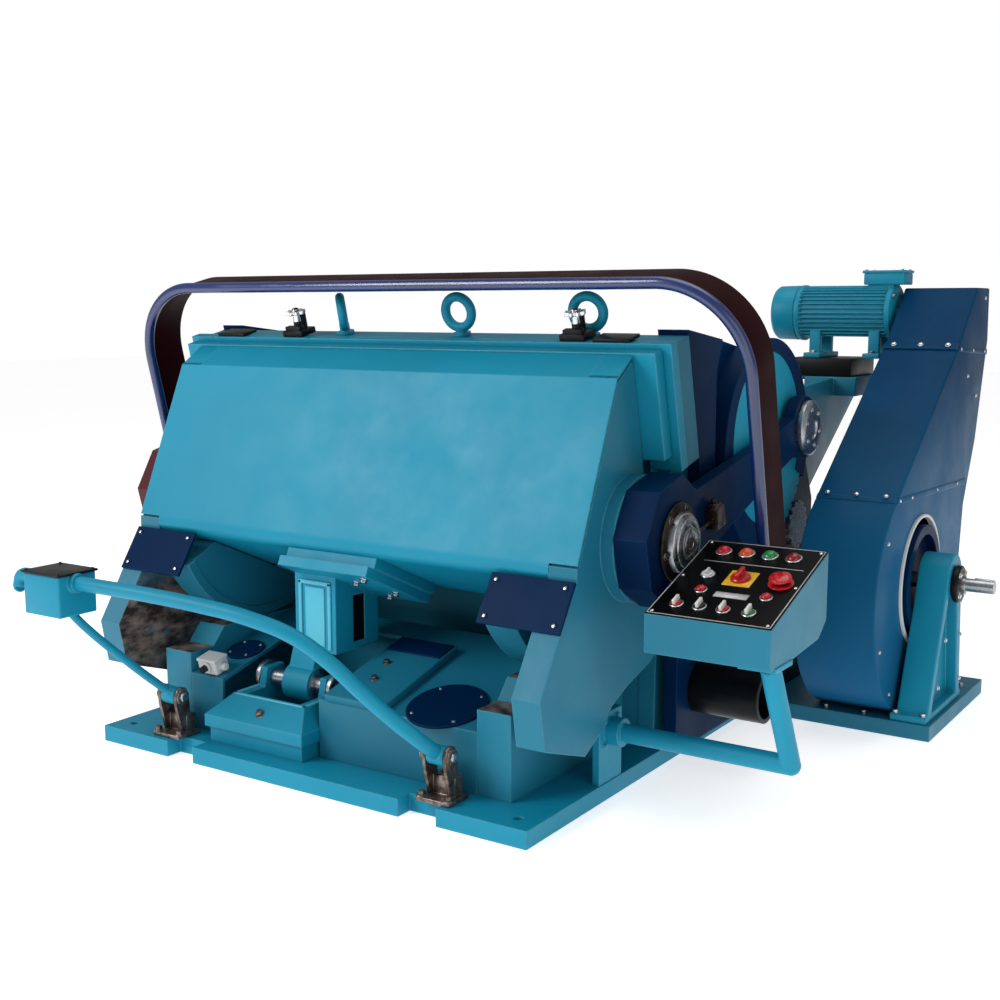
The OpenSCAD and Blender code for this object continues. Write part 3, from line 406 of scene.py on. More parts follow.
def tidy(obj, round_mm=0.0, steps=3):
    """Closes a mesh, turns its faces outwards, rounds its edges and shades it."""
    pick(obj)
    bpy.ops.object.transform_apply(location=True, rotation=True, scale=True)
    bpy.ops.object.mode_set(mode="EDIT")
    bpy.ops.mesh.select_all(action="SELECT")
    bpy.ops.mesh.remove_doubles(threshold=0.00001)
    bpy.ops.mesh.normals_make_consistent(inside=False)
    bpy.ops.object.mode_set(mode="OBJECT")
    if round_mm:
        modify(obj, "BEVEL", width=round_mm * MM, segments=steps, limit_method="ANGLE",
               angle_limit=math.radians(ROUND_OVER))
    bpy.ops.object.shade_smooth_by_angle(angle=math.radians(SMOOTH_UNDER))
    return obj


def block(low, high, round_mm=3.0, place=DRAWING):
    """A box between two corners in mm, on the drawing or in a leaning frame."""
    pick()
    bpy.ops.mesh.primitive_cube_add(size=1.0)
    obj = bpy.context.object
    size = [(b - a) * MM for a, b in zip(low, high)]
    middle = [(a + b) / 2 * MM for a, b in zip(low, high)]
    obj.matrix_world = place @ Matrix.Translation(middle) @ Matrix.Diagonal((*size, 1.0))
    return tidy(obj, round_mm)


def rod(start, end, radius_mm, round_mm=1.5, sides=48):
    """A cylinder between two points of the scene."""
    pick()
    way = end - start
    bpy.ops.mesh.primitive_cylinder_add(vertices=sides, radius=radius_mm * MM, depth=way.length)
    obj = bpy.context.object
    facing = way.to_track_quat("Z", "Y").to_matrix().to_4x4()
    obj.matrix_world = Matrix.Translation((start + end) / 2) @ facing
    return tidy(obj, round_mm)


def along_x(radius_mm, x0, x1, y, z, round_mm=1.5, sides=64):
    """A cylinder along X, by its place on the drawing."""
    return rod(row(x0, y, z), row(x1, y, z), radius_mm, round_mm, sides)


def turned(profile, place, round_mm=1.0, steps=48, axis="X"):
    """A lathe piece: (along, radius) points in mm, spun about the X or Z axis of a frame."""
    points = [(a * MM, r * MM, 0.0) if axis == "X" else (r * MM, 0.0, a * MM) for a, r in profile]
    mesh = bpy.data.meshes.new("turned")
    mesh.from_pydata(points, [(i, i + 1) for i in range(len(points) - 1)], [])
    obj = bpy.data.objects.new("turned", mesh)
    bpy.context.scene.collection.objects.link(obj)
    pick(obj)
    bpy.ops.object.mode_set(mode="EDIT")
    bpy.ops.mesh.select_all(action="SELECT")
    bpy.ops.mesh.spin(steps=steps, angle=math.tau, center=(0, 0, 0),
                      axis=(1, 0, 0) if axis == "X" else (0, 0, 1))
    bpy.ops.object.mode_set(mode="OBJECT")
    obj.matrix_world = place
    return tidy(obj, round_mm)


def plate(outline, start, end, round_mm=3.0, place=DRAWING, flat=False):
    """A Y-Z outline in mm, extruded along X; with flat, an X-Y outline extruded along Z."""
    pick()
    bpy.ops.mesh.primitive_circle_add(vertices=len(outline), fill_type="NGON")
    obj = bpy.context.object
    for corner, (u, v) in zip(obj.data.vertices, outline):
        corner.co = Vector((u, v, start) if flat else (start, u, v)) * MM
    reach = Vector((0, 0, end - start) if flat else (end - start, 0, 0)) * MM
    bpy.ops.object.mode_set(mode="EDIT")
    bpy.ops.mesh.select_all(action="SELECT")
    bpy.ops.mesh.extrude_region_move(TRANSFORM_OT_translate={"value": reach})
    bpy.ops.object.mode_set(mode="OBJECT")
    obj.matrix_world = place
    return tidy(obj, round_mm)


def pipe(points, radius_mm, smooth=True, sides=24):
    """A round pipe through points of the scene, with closed ends."""
    line = bpy.data.curves.new("pipe", "CURVE")
    line.dimensions = "3D"
    line.bevel_depth = radius_mm * MM
    line.bevel_resolution = sides // 4
    line.use_fill_caps = True
    line.resolution_u = 10 if smooth else 1
    track = line.splines.new("BEZIER" if smooth else "POLY")
    if smooth:
        track.bezier_points.add(len(points) - 1)
        for knot, p in zip(track.bezier_points, points):
            knot.co = p
            knot.handle_left_type = knot.handle_right_type = "AUTO"
    else:
        track.points.add(len(points) - 1)
        for knot, p in zip(track.points, points):
            knot.co = (*p, 1.0)
    obj = bpy.data.objects.new("pipe", line)
    bpy.context.scene.collection.objects.link(obj)
    pick(obj)
    bpy.ops.object.convert(target="MESH")
    return tidy(bpy.context.object)


def hexagon(place, across_mm, high_mm):
    """A hexagon bolt head on a washer, standing on the Z axis of a frame."""
    washer_mm = 2.4
    pick()
    bpy.ops.mesh.primitive_cylinder_add(vertices=6, radius=across_mm / 1.732 * MM,
                                        depth=high_mm * MM)
    head = bpy.context.object
    head.matrix_world = place @ Matrix.Translation((0, 0, (high_mm / 2 + 2) * MM))
    tidy(head, 1.0, 2)
    pick()
    bpy.ops.mesh.primitive_cylinder_add(vertices=24, radius=across_mm * 0.72 * MM,
                                        depth=washer_mm * MM)
    washer = bpy.context.object
    washer.matrix_world = place @ Matrix.Translation((0, 0, washer_mm / 2 * MM))
    tidy(washer, 0.5, 1)
    return join([head, washer])


def join(parts):
    """Several meshes as one object."""
    pick(parts[0])
    for part in parts[1:]:
        part.select_set(True)
    if len(parts) > 1:
        bpy.ops.object.join()
    return parts[0]


def cut(obj, tool):
    """Takes the shape of a tool out of a piece."""
    modify(obj, "BOOLEAN", operation="DIFFERENCE", solver="EXACT", object=tool)
    bpy.data.objects.remove(tool)


def on_side(piece, side):
    """A right-hand piece, mirrored when it belongs on the left."""
    if side == "left":
        piece.matrix_world = MIRROR
        tidy(piece)
    return piece


def finished(name, parts, body, slot, finish, *stands_for):
    """Names a piece, gives it its finish, and fastens it to its body."""
    piece = join(parts) if isinstance(parts, list) else parts
    piece.name = piece.data.name = name
    piece.data.materials.clear()
    piece.data.materials.append(finish)
    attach(piece, body)
    if stands_for:
        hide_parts(*stands_for)
    print(name, len(piece.data.polygons), "faces")


# %% [markdown]
# ## Safety hoop
# The hoop is a broad steel band, bent over the press: pressed by an arm, it swings back and stops
# the platen. A round bar is welded along its front edge. The band could be bent from a strip, but
# one outline extruded in depth gives the same shape with clean corners, and the bar is a pipe
# along the same line.

# %% Safety hoop
HOOP_WIDE, HOOP_HIGH = 1248, 1173    # half its width, and its height over the hinges
HOOP_BEND, HOOP_FOOT = 283, -60      # radius of its corners, and where its legs end


def hoop_line(side):
    """The hoop's line in its own frame, moved outwards by side mm."""
    wide, high, bend = HOOP_WIDE + side, HOOP_HIGH + side, HOOP_BEND + side
    corner = arc((wide - bend, high - bend), bend, range(0, 91, 3))
    return ([(wide, HOOP_FOOT)] + corner + [(-x, z) for x, z in reversed(corner)]
            + [(-wide, HOOP_FOOT)])


band_outline = hoop_line(7) + list(reversed(hoop_line(-7)))
band = plate(band_outline, -90, 71, 2.0, HOOP @ rotation(90, "X"), flat=True)
finished("hoop_band", band, "hoop", "maroon_paint", maroon, "safety_hoop")
bead = pipe([spot(HOOP, x, -71, z) for x, z in hoop_line(0)], 19, smooth=False, sides=32)
finished("hoop_bead", bead, "hoop", "navy_paint", bead_blue)

# %% [markdown]
# ## Front bail
# A bent water pipe crosses the front and carries the station box, so that the operator's legs trip
# it. A smooth curve through the bending points gives the long sweep, which straight pipes and
# elbows wouldn't, and barrels at its feet turn on the hinge pins.

# %% Front bail
BAIL = [(530, 62, 195), (524, -12, 250), (442, -50, 318), (365, -100, 402), (290, -148, 488),
        (205, -195, 558), (63, -235, 604), (-115, -260, 626), (-307, -278, 637), (-515, -290, 641),
        (-600, -290, 641), (-720, -290, 641), (-850, -290, 641), (-893, -290, 634),
        (-905, -290, 606)]
BRACE = [(-590, 62, 195), (-640, -60, 315), (-700, -210, 478), (-712, -246, 524)]
bail_parts = [pipe([row(*p) for p in BAIL], 23), pipe([row(*p) for p in BRACE], 14)]
bail_parts += [along_x(30, x - 30, x + 30, *HINGE, 3) for x in (530, -590)]
bail_parts.append(along_x(25, -912, -900, -290, 604, 3))
finished("bail_pipe", bail_parts, "bail", "turquoise_paint", turquoise, "front_bail")
station = [block((-800, -355, 535), (-630, -210, 667), 4), along_x(31, -632, -612, -290, 641, 3)]
finished("station_case", station, "bail", "turquoise_paint", turquoise, "station_box")
lid = [block((-806, -361, 667), (-624, -204, 675), 2)]
lid += [hexagon(upright(x, y, 674), 8, 3) for x in (-794, -636) for y in (-349, -216)]
finished("station_lid", lid, "bail", "black_paint", black)

# %% [markdown]
# ## Bail hinges
# Each foot of the bail turns between two forged ears. A greasy pin goes through both, with a nut
# and a collar at each end. One ear outline is extruded four times, as one forging would serve
# all four.

# %% Bail hinges
EAR = [(62, 55), (112, 55), (112, 78), (100, 120), (92, 200), (82, 222), (62, 230), (42, 222),
       (32, 200), (34, 165)]
EAR_T = 12
ears = []
for x in (486, 562, -634, -558):
    ears.append(plate(EAR, x, x + EAR_T, 3))
    collar_x = x - 6 if x in (486, -634) else x + EAR_T
    ears.append(along_x(26, collar_x, collar_x + 6, *HINGE, 2))
for x in (492, -628):
    ears.append(block((x - 8, 74, 55), (x + 84, 122, 128), 6))
    ears.append(block((x - 24, 20, 55), (x + 100, 126, 70), 4))
    ears += [hexagon(upright(x + u, 38, 69), 22, 14) for u in (-12, 88)]
    ears.append(hexagon(upright(x + 38, 98, 127), 26, 14))
pins = []
for x in (470, -650):
    pins.append(along_x(13.5, x, x + 118, *HINGE, 1.5))
    pins += [hexagon(facing_right(nut_x, *HINGE), 30, 8) for nut_x in (x + 2, x + 106)]
finished("bail_hinges", ears, "frame", "black_paint", iron, "bail_brackets")
finished("bail_hinge_pins", pins, "frame", "machined_steel", steel)

# %% [markdown]
# ## Belt guard
# A folded sheet drum keeps hands from the flywheel and belts: rounded over the wheel and straight
# up to the motor. One outline with many short sides makes the smooth drum, and a smaller one cuts
# it hollow. The seams are thin straps, and small screws hold the panels.

# %% Belt guard
DRUM, DRUM_R = (1800, 470), 436
GUARD_X0, GUARD_X1, GUARD_WALL = 1110, 1400, 6


def guard_line(inset=0.0):
    """The guard's outline, moved inwards by a wall."""
    t = inset
    return ([(2515 + t, 1580 - t), (2285 + t, 1360 - t)]
            + arc(DRUM, DRUM_R - t, range(127, 248, 4))
            + [(1680, 55 + t), (2180 - t, 55 + t), (2330 - t, 240 + t), (2425 - t, 500),
               (2455 - t, 720), (2590 - t, 970 + t), (2715 - t, 1370), (2705 - t, 1580 - t)])


guard = plate(guard_line(), GUARD_X0, GUARD_X1, 7)
cut(guard, plate(guard_line(5), GUARD_X0 + GUARD_WALL, GUARD_X1 - GUARD_WALL, 0))
cut(guard, along_x(232, 1380, 1440, *DRIVE, 0, 96))
cut(guard, along_x(60, 1100, 1130, *DRIVE, 0))
cut(guard, along_x(40, 1100, 1130, *MOTOR, 0))
finished("guard_shell", tidy(guard), "frame", "navy_paint", guard_painted_light, "belt_guard")


def front_strap(along, width, thick):
    """A strap across the guard's sloping front, from its upper corner down."""
    way = Vector((-747.4, -541.8)).normalized()
    out = Vector((way.y, -way.x))
    start = Vector((2285, 1360)) + way * along
    return [tuple(start), tuple(start + way * width), tuple(start + way * width + out * thick),
            tuple(start + out * thick)]


straps = [plate(front_strap(2, 34, 9), 1112, 1398, 1.5),
          plate(front_strap(880, 22, 3), 1112, 1398, 1)]
for y0, z0, y1, z1 in ((2264, 1345, 2740, 1322), (1560, 836, 2500, 812)):
    run = [(y0 + 3, z0 - 11), (y1 - 40, z1 - 11), (y1 - 40, z1 + 11), (y0 + 16, z0 + 11)]
    straps.append(plate(run, 1399, 1402.5, 1))
finished("guard_seams", straps, "frame", "navy_paint", guard_painted_light)
screws = []
for x in (1150, 1255, 1360):
    screws.append(hexagon(tilted(x, 2266, 1358, 35.9), 15, 6))
    screws.append(hexagon(tilted(x, 1565, 852, 35.9), 11, 4))
SIDE_SCREWS = ((1590, 836), (1730, 832), (2050, 824), (2330, 817), (2300, 1343), (2480, 1334),
               (2660, 1325), (2420, 1235), (2640, 1540), (2560, 1150), (1480, 700), (1430, 330),
               (1560, 150), (2180, 130), (2350, 420))
screws += [hexagon(facing_right(1399.5, y, z), 11, 4) for y, z in SIDE_SCREWS]
finished("guard_screws", screws, "frame", "machined_steel", bright)
rim = turned([(-8, 231), (10, 231), (12, 233), (12, 241), (10, 243), (-2, 243)],
             upright(1398, *DRIVE), 0.0, 96)
finished("guard_opening_rim", rim, "frame", "white_paint", silver)

# %% [markdown]
# ## Rod fittings
# A bolted bronze keeper, a steel thrust ring and an oiler sit on the front of each rod, and a
# polished cap closes the crank end. They are lathe work, so each one is a profile spun about the
# rod's own X. The right-hand shape is made for both rods and mirrored for the left one.

# %% Rod fittings
ROD_FACE = 1054            # x of the rod's outer face
CRANK_REACH = 1065.37      # from the platen journal to the crank pin


def rod_at(x, y=0.0, z=0.0):
    """A frame on the pull rod whose X points out of the press."""
    return moved(ROD, x, y, z)


def keeper():
    profile = [(0, 52), (0, 118), (4, 122), (10, 122), (14, 116), (14, 52)]
    return ([turned(profile, rod_at(ROD_FACE), 0.8, 64)]
            + [hexagon(rod_at(1067, y, z) @ SIDEWAYS, 15, 6) for y, z in ring_of((0, 0), 107, 6)])


def thrust_ring():
    dish = [(12, 51), (12, 94), (16, 94), (30, 92), (34, 88), (36, 80), (36, 51)]
    lip = [(32, 60), (39, 60), (40, 63), (40, 72), (38, 74), (32, 74)]
    return [turned(dish, rod_at(ROD_FACE), 0.8, 64), turned(lip, rod_at(ROD_FACE), 0.5, 64)]


def oiler():
    cup = [block((ROD_FACE, 196, -40), (1096, 256, 28), 3, ROD),
           block((1060, 202, 28), (1090, 250, 36), 2, ROD)]
    tube = rod(spot(ROD, 1076, 196, -6), spot(ROD, 1076, 110, -6), 5, 0.5, 16)
    filler = rod(spot(ROD, 1074, 226, 34), spot(ROD, 1074, 226, 52), 9, 2, 24)
    bolts = [hexagon(rod_at(1095, y, -28) @ SIDEWAYS, 10, 4) for y in (206, 246)]
    return cup + [tube, filler] + bolts


def crank_cap():
    profile = [(-2, 0), (-2, 96), (6, 98), (22, 98), (26, 92), (30, 84), (30, 40), (24, 38),
               (24, 0)]
    return ([turned(profile, rod_at(ROD_FACE, CRANK_REACH), 0.8, 64)]
            + [hexagon(rod_at(1083, y, z) @ SIDEWAYS, 13, 5)
               for y, z in ring_of((CRANK_REACH, 0), 66, 6, 30)])


def both_rods(name, make, slot, finish, stands=False):
    """The right-hand piece, and its mirror image on the left rod."""
    for side in ("right", "left"):
        finished(f"{side}_{name}", on_side(join(make()), side), f"{side}_rod_assembly", slot,
                 finish, *([f"{side}_rod_fittings"] if stands else []))


both_rods("rod_keeper", keeper, "black_paint", bronze, stands=True)
both_rods("rod_thrust_ring", thrust_ring, "machined_steel", steel)
both_rods("rod_oiler", oiler, "black_paint", bronze)
both_rods("crank_cap", crank_cap, "machined_steel", steel)
for side in ("right", "left"):
    cap = turned([(0, 0), (0, 45), (10, 45), (14, 40), (14, 14), (8, 10), (8, 0)],
                 upright(1087, *JOURNAL), 0.8, 48)
    finished(f"{side}_journal_cap", on_side(cap, side), "platen_assembly", "machined_steel",
             bright)

# %% [markdown]
# ## Control panel
# Switches are turned shapes on the panel's own sloping frame: a chrome bezel, a coloured cap and a
# lever. Each moving one rides on its own body, so the caps press and the levers turn. The label
# stays bare.

# %% Control panel
PANEL_W, PANEL_H, SHEET = 373, 444, 3
SELECTORS, SELECTOR_V = (70, 140, 210, 285), 62
BUTTONS, BUTTON_V = (105, 300), 150
LAMPS, LAMP_V = [78 + 72 * i for i in range(4)], 378
DIAL, MAIN_SWITCH, STOP = (88, 238), (190, 235), (310, 235)


def on_panel(u, v, w=SHEET):
    """The frame of a switch: u from the panel's left edge, v up its slope."""
    return moved(PANEL, u, v, w)


def switch(profile, u, v, round_mm=0.3, steps=32):
    """A turned part of a switch, standing on the panel."""
    return turned(profile, on_panel(u, v), round_mm, steps, "Z")


def bezel(u, v, radius):
    return switch([(0, radius - 4), (0, radius), (4.5, radius), (6, radius - 1.5),
                   (6, radius - 4)], u, v)


def dome(u, v, radius, low, high):
    """A pressed cap with a rounded top."""
    top = [(low + (high - low) * math.sin(math.radians(a)), radius * math.cos(math.radians(a)))
           for a in range(0, 90, 15)]
    return switch([(low, 0)] + top + [(high, 0)], u, v, 0.0)


face = block((0, 0, 0), (PANEL_W, PANEL_H, SHEET), 1.0, PANEL)
finished("panel_face", face, "frame", "black_panel", laminate, "control_panel")
trim = [block((*low, SHEET), (*high, 4), 0.3, PANEL)
        for low, high in (((4, 4), (369, 7)), ((4, 437), (369, 440)), ((4, 4), (7, 440)),
                          ((366, 4), (369, 440)), ((40, 318), (345, 321)))]
finished("panel_lines", trim, "frame", "white_paint", silver)
chrome = [switch([(0, 0), (0, 6), (2, 5), (3, 2.5), (3, 0)], u, v, 0.2, 16)
          for u in (16, 357) for v in (16, 222, 428)]
chrome += [bezel(u, SELECTOR_V, 21) for u in SELECTORS] + [bezel(u, BUTTON_V, 19) for u in BUTTONS]
chrome += [bezel(u, LAMP_V, 25) for u in LAMPS] + [bezel(*DIAL, 22)]
finished("panel_chrome", chrome, "frame", "machined_steel", bright)
switch_plate = block((148, 193, SHEET), (232, 277, 6), 1.5, PANEL)
finished("main_switch_plate", switch_plate, "frame", "lamp_lenses", yellow)
label = block((150, 128, SHEET), (250, 156, 4), 0.5, PANEL)
finished("bare_label", label, "frame", "white_paint", silver)
stop_ring = switch([(0, 20), (0, 36), (2, 37), (4, 36), (4, 20)], *STOP, steps=40)
finished("stop_button_ring", stop_ring, "frame", "red_plastic", red)
dial = [switch([(0, 0), (0, 19), (8, 18), (10, 16), (10, 0)], *DIAL),
        block((84, 224, 12), (92, 252, 22), 1.5, PANEL)]
finished("grey_selector", dial, "frame", "black_plastic", silver)
for i, lens_finish in enumerate((red, orange, green, dark_red)):
    finished(f"pilot_lamp_{i + 1}", dome(LAMPS[i], LAMP_V, 21, 4, 19), "frame", "lamp_lenses",
             lens_finish, *(["pilot_lamps"] if i == 0 else []))
for i, (u, cap) in enumerate(zip(SELECTORS, (red, black_plastic, red, green))):
    body = f"selector_{i + 1}_body"
    skirt = switch([(1, 0), (1, 16), (9, 15), (11, 13), (11, 0)], u, SELECTOR_V)
    finished(f"selector_{i + 1}_skirt", skirt, body, "black_plastic", cap, f"selector_{i + 1}")
    lever = block((u - 4.5, 44, 12), (u + 4.5, 80, 27), 2, PANEL)
    finished(f"selector_{i + 1}_lever", lever, body, "white_paint", white_plastic)
# The skirts of the push buttons start above their 4 mm of travel.
SKIRT = [(4.6, 0), (4.6, 12), (9, 14.5), (9, 0)]
for i, u in enumerate(BUTTONS):
    button = [dome(u, BUTTON_V, 14.5, 8, 16), switch(SKIRT, u, BUTTON_V, 0)]
    finished(f"push_button_{i + 1}_cap", button, f"push_button_{i + 1}_body", "red_plastic", red,
             f"push_button_{i + 1}")
grip = [switch([(3, 0), (3, 30), (9, 29), (12, 26), (12, 0)], *MAIN_SWITCH, 0.5, 40),
        block((183, 209, 14), (197, 261, 32), 3, PANEL)]
finished("main_switch_grip", grip, "main_switch_body", "red_plastic", red, "main_switch")
mushroom = switch([(5, 0), (5, 13), (12, 14), (13, 30), (18, 33), (24, 31), (28, 22), (29.5, 10),
                   (30, 0)], *STOP, 0.5, 40)
finished("stop_button_cap", mushroom, "stop_button_body", "red_plastic", red, "stop_button")

# %% [markdown]
# ## Motor
# A foot-mounted induction motor: a finned frame between two end shields, a fan cowl with slots,
# and a terminal box. The shields and the cowl are lathe work, and one fin is set round the frame.
# It stands on a slide that stretches the belts, held by a plate from the side frame.

# %% Motor
axis_y, axis_z = MOTOR
motor = [along_x(97, 690, 1074, *MOTOR, 2)]
motor += [block((700, -1.6, 92), (1062, 1.6, 112), 0.8, tilted(0, *MOTOR, a))
          for a in range(-150, 151, 10)]
SHIELD = [(0, 0), (0, 70), (4, 108), (10, 116), (26, 116), (30, 110), (30, 0)]
motor += [turned(SHIELD, upright(x, *MOTOR), 1.0, 64) for x in (1058, 676)]
cowl_frame = upright(575, *MOTOR)
cowl = turned([(0, 0), (0, 84), (6, 104), (16, 112), (100, 114), (104, 112), (104, 0)],
              cowl_frame, 1.0, 64)
for r in (30, 50, 70):
    cut(cowl, turned([(-4, r - 4), (-4, r + 4), (5, r + 4), (5, r - 4), (-4, r - 4)],
                     cowl_frame, 0, 48))
motor.append(tidy(cowl))
for x in (735, 985):
    motor.append(block((x, axis_y - 118, 1295), (x + 70, axis_y + 118, 1316), 4))
    motor += [block((x + 12, y, 1312), (x + 58, y + 30, 1410), 4)
              for y in (axis_y - 84, axis_y + 54)]
motor += [block((975, axis_y - 45, 1572), (1080, axis_y + 45, 1600), 3),
          block((962, axis_y - 60, 1594), (1128, axis_y + 60, 1640), 5),
          block((956, axis_y - 64, 1640), (1132, axis_y + 64, 1652), 4)]
finished("motor_frame", motor, "frame", "turquoise_paint", turquoise, "motor")
slide = [block((672, 2350, 1220), (951, 2650, 1294.5), 4)]
slide += [block((690, y, 1290), (940, y + 22, 1295), 1) for y in (2380, 2600)]
finished("motor_slide_rails", slide, "frame", "black_paint", black, "motor_slide_base")
GUSSET = [(1760, 780), (1980, 700), (2650, 1145), (2650, 1215), (2350, 1215), (1760, 1180)]
stand = [block((755, 2350, 1142), (975, 2650, 1220), 4), plate(GUSSET, 850, 880, 3)]
finished("motor_stand", stand, "frame", "turquoise_paint", teal)
slide_screws = [hexagon(upright(x, y, 1219) @ UPSIDE_DOWN, 22, 12)
                for x in (700, 735) for y in (2380, 2620)]
finished("motor_slide_screws", slide_screws, "frame", "machined_steel", steel)
motor_screws = [hexagon(facing_right(1087, y, z), 14, 6) for y, z in ring_of(MOTOR, 96, 4, 45)]
motor_screws += [hexagon(upright(x, y, 1651), 9, 4) for x in (970, 1118) for y in (2450, 2550)]
motor_screws += [hexagon(upright(x, y, 1315), 20, 10)
                 for x in (770, 1020) for y in (axis_y - 104, axis_y + 104)]
finished("motor_screws", motor_screws, "frame", "machined_steel", steel)

# %% [markdown]
# ## Outboard bearing
# A cast leg carries the flywheel shaft outside the guard. Its head is round over the bore, and a
# foot with four bolts stands on the sole plate. The leg is one outline with the arc of its head
# in it, bored through with the shaft's radius and a small clearance.

# %% Outboard bearing
SHAFT_BORE = 28.05
head = arc((1870, 522), 96, range(0, 150, 8))
leg = plate([(1590, 79), (1640, 79), (1700, 250), (1800, 470), (1910, 470), (1960, 79),
             (2005, 79), (1966, 500)] + head + [(1742, 440), (1660, 250)], 1420, 1530, 5)
web = plate([(1625, 79), (1970, 79), (1950, 510), (1830, 510)], 1460, 1490, 2)
foot = block((1402, 1572, 55), (1530, 2022, 81), 4)
cut(leg, along_x(SHAFT_BORE, 1400, 1560, *DRIVE, 0))
finished("bearing_leg", [leg, web, foot], "frame", "turquoise_paint", turquoise,
         "bearing_bracket")
flange = turned([(0, SHAFT_BORE), (0, 64), (4, 68), (20, 68), (25, 62), (25, SHAFT_BORE),
                 (0, SHAFT_BORE)], upright(1531, *DRIVE), 0.8, 48)
finished("bearing_flange", flange, "frame", "black_paint", black, "outboard_bearing")
bolts = [hexagon(facing_right(1555, y, z), 14, 6) for y, z in ring_of(DRIVE, 52, 4, 45)]
bolts += [hexagon(upright(x, y, 80), 18, 10) for x in (1418, 1514) for y in (1590, 2002)]
bolts += [hexagon(facing_right(1530, y, z), 12, 5)
          for y, z in ((1700, 160), (1770, 320), (1985, 130), (1975, 300), (1960, 430))]
finished("bearing_bolts", bolts, "frame", "machined_steel", bright)
sole_bolts = [hexagon(upright(x, y, 55), 18, 10)
              for x, y in ((1000, 1600), (1160, 1600), (1300, 1600), (1500, 2150), (1450, 2250),
                           (1000, 2250))]
finished("sole_plate_bolts", sole_bolts, "frame", "machined_steel", steel)
key = block((1600, 1866, 530), (1668, 1874, 538), 1)
finished("shaft_key", key, "flywheel_assembly", "machined_steel", bright)

# %% [markdown]
# ## Pivot housing and column
# The platen's foot turns in an open box bolted through the deck. The box gets its bolts, a folded
# rim and bearing collars; the column above it gets a framed front panel. These are small blocks
# and rings laid on the imported solids, so the joint stays where the motion needs it.

# %% Pivot housing and column
# The housing rim takes the lighter copy of the turquoise: a painted highlight on faces that catch
# the light.
rim = [block((*low, 209), (*high, 219), 2)
       for low, high in (((-386, 141), (-68, 155)), ((-386, 470), (-68, 484)),
                         ((-386, 141), (-372, 484)), ((-82, 141), (-68, 484)))]
finished("housing_rim", rim, "frame", "turquoise_paint", highlight_paint)
housing_bolts = [hexagon(tilted(-227, 104, 178, 36.7), 24, 12)]
housing_bolts += [hexagon(upright(x, y, 178) @ rotation(lean, "Y"), 24, 12)
                  for x, lean in ((-44, 47.8), (-428, -47.8)) for y in (200, 430)]
finished("housing_bolts", housing_bolts, "frame", "black_paint", iron)
COLLAR = [(0, 33), (0, 50), (4, 54), (18, 54), (22, 48), (22, 33), (0, 33)]
collars = [turned(COLLAR, upright(x, *PIVOT), 0.8, 48) for x in (-396, -80)]
finished("pivot_collars", collars, "frame", "machined_steel", steel)
eye_ring = turned([(0, 33), (0, 52), (3, 56), (3, 33), (0, 33)], upright(-150, *PIVOT), 0.5, 48)
finished("leg_eye_ring", eye_ring, "platen_assembly", "machined_steel", bright)
# The column's framed front panel takes the lighter turquoise too: a painted highlight.
panel = [block((-218, 289, 372), (-204, 296, 600), 2.5),
         block((-92, 289, 372), (-78, 296, 600), 2.5),
         block((-218, 289, 588), (-78, 296, 602), 2.5),
         block((-190, 291, 380), (-106, 296, 580), 3)]
finished("column_panel", panel, "platen_assembly", "turquoise_paint", highlight_paint)
SLAB_TILT, SLAB_DROP = 24, 45
SLAB = tilted(0, 266 - SLAB_DROP * math.sin(math.radians(SLAB_TILT)),
              756 - SLAB_DROP * math.cos(math.radians(SLAB_TILT)), -SLAB_TILT)
slab_bolts = [hexagon(moved(SLAB, x, v, -67) @ UPSIDE_DOWN, 20, 11)
              for x, v in ((20, 99), (110, 20), (110, 200), (20, 290))]
finished("slab_bolts", slab_bolts, "platen_assembly", "machined_steel", bright)
CORNER = [(446, 1296), (542, 1361), (546, 1355), (450, 1290)]
corners = [plate(CORNER, x, x + 96, 1) for x in (804, -900)]
finished("cover_corners", corners, "platen_assembly", "turquoise_paint", turquoise)
# A black block in the column's slot stands for the shade inside it: painted shade.
slot_shade_block = block((-91, 387, 387), (-60.5, 443, 543), 1)
finished("column_slot_shade", slot_shade_block, "platen_assembly", "black_paint", black)

# %% [markdown]
# ## Cheek cover screws
# Four bright screws hold each blue plate on the front of a rocker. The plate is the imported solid,
# and the screws stand on its slope, at two shares of the length between its ends.

# %% Cheek cover screws
PLATE_LOW, PLATE_HIGH, PLATE_T = Vector((131, 585)), Vector((223, 726)), 10.2
along = PLATE_HIGH - PLATE_LOW
outwards = Vector((-along.y, along.x)).normalized()
cover_screws = []
for x in (640, 876, -640, -876):
    for share in (0.164, 0.851):
        at = PLATE_LOW + along * share + outwards * PLATE_T
        lean = math.degrees(math.atan2(-outwards.x, outwards.y))
        cover_screws.append(hexagon(tilted(x, *at, lean), 11, 4))
finished("cheek_cover_screws", cover_screws, "platen_assembly", "machined_steel", bright)

# %% [markdown]
# ## Platform plate
# A thick plate beside the housing, with a bright edge, partly worn and partly a painted highlight,
# a blue cover and hexagon bolts. It and the round deck covers lie on the slope, so everything on
# them is placed in the deck's own frame.

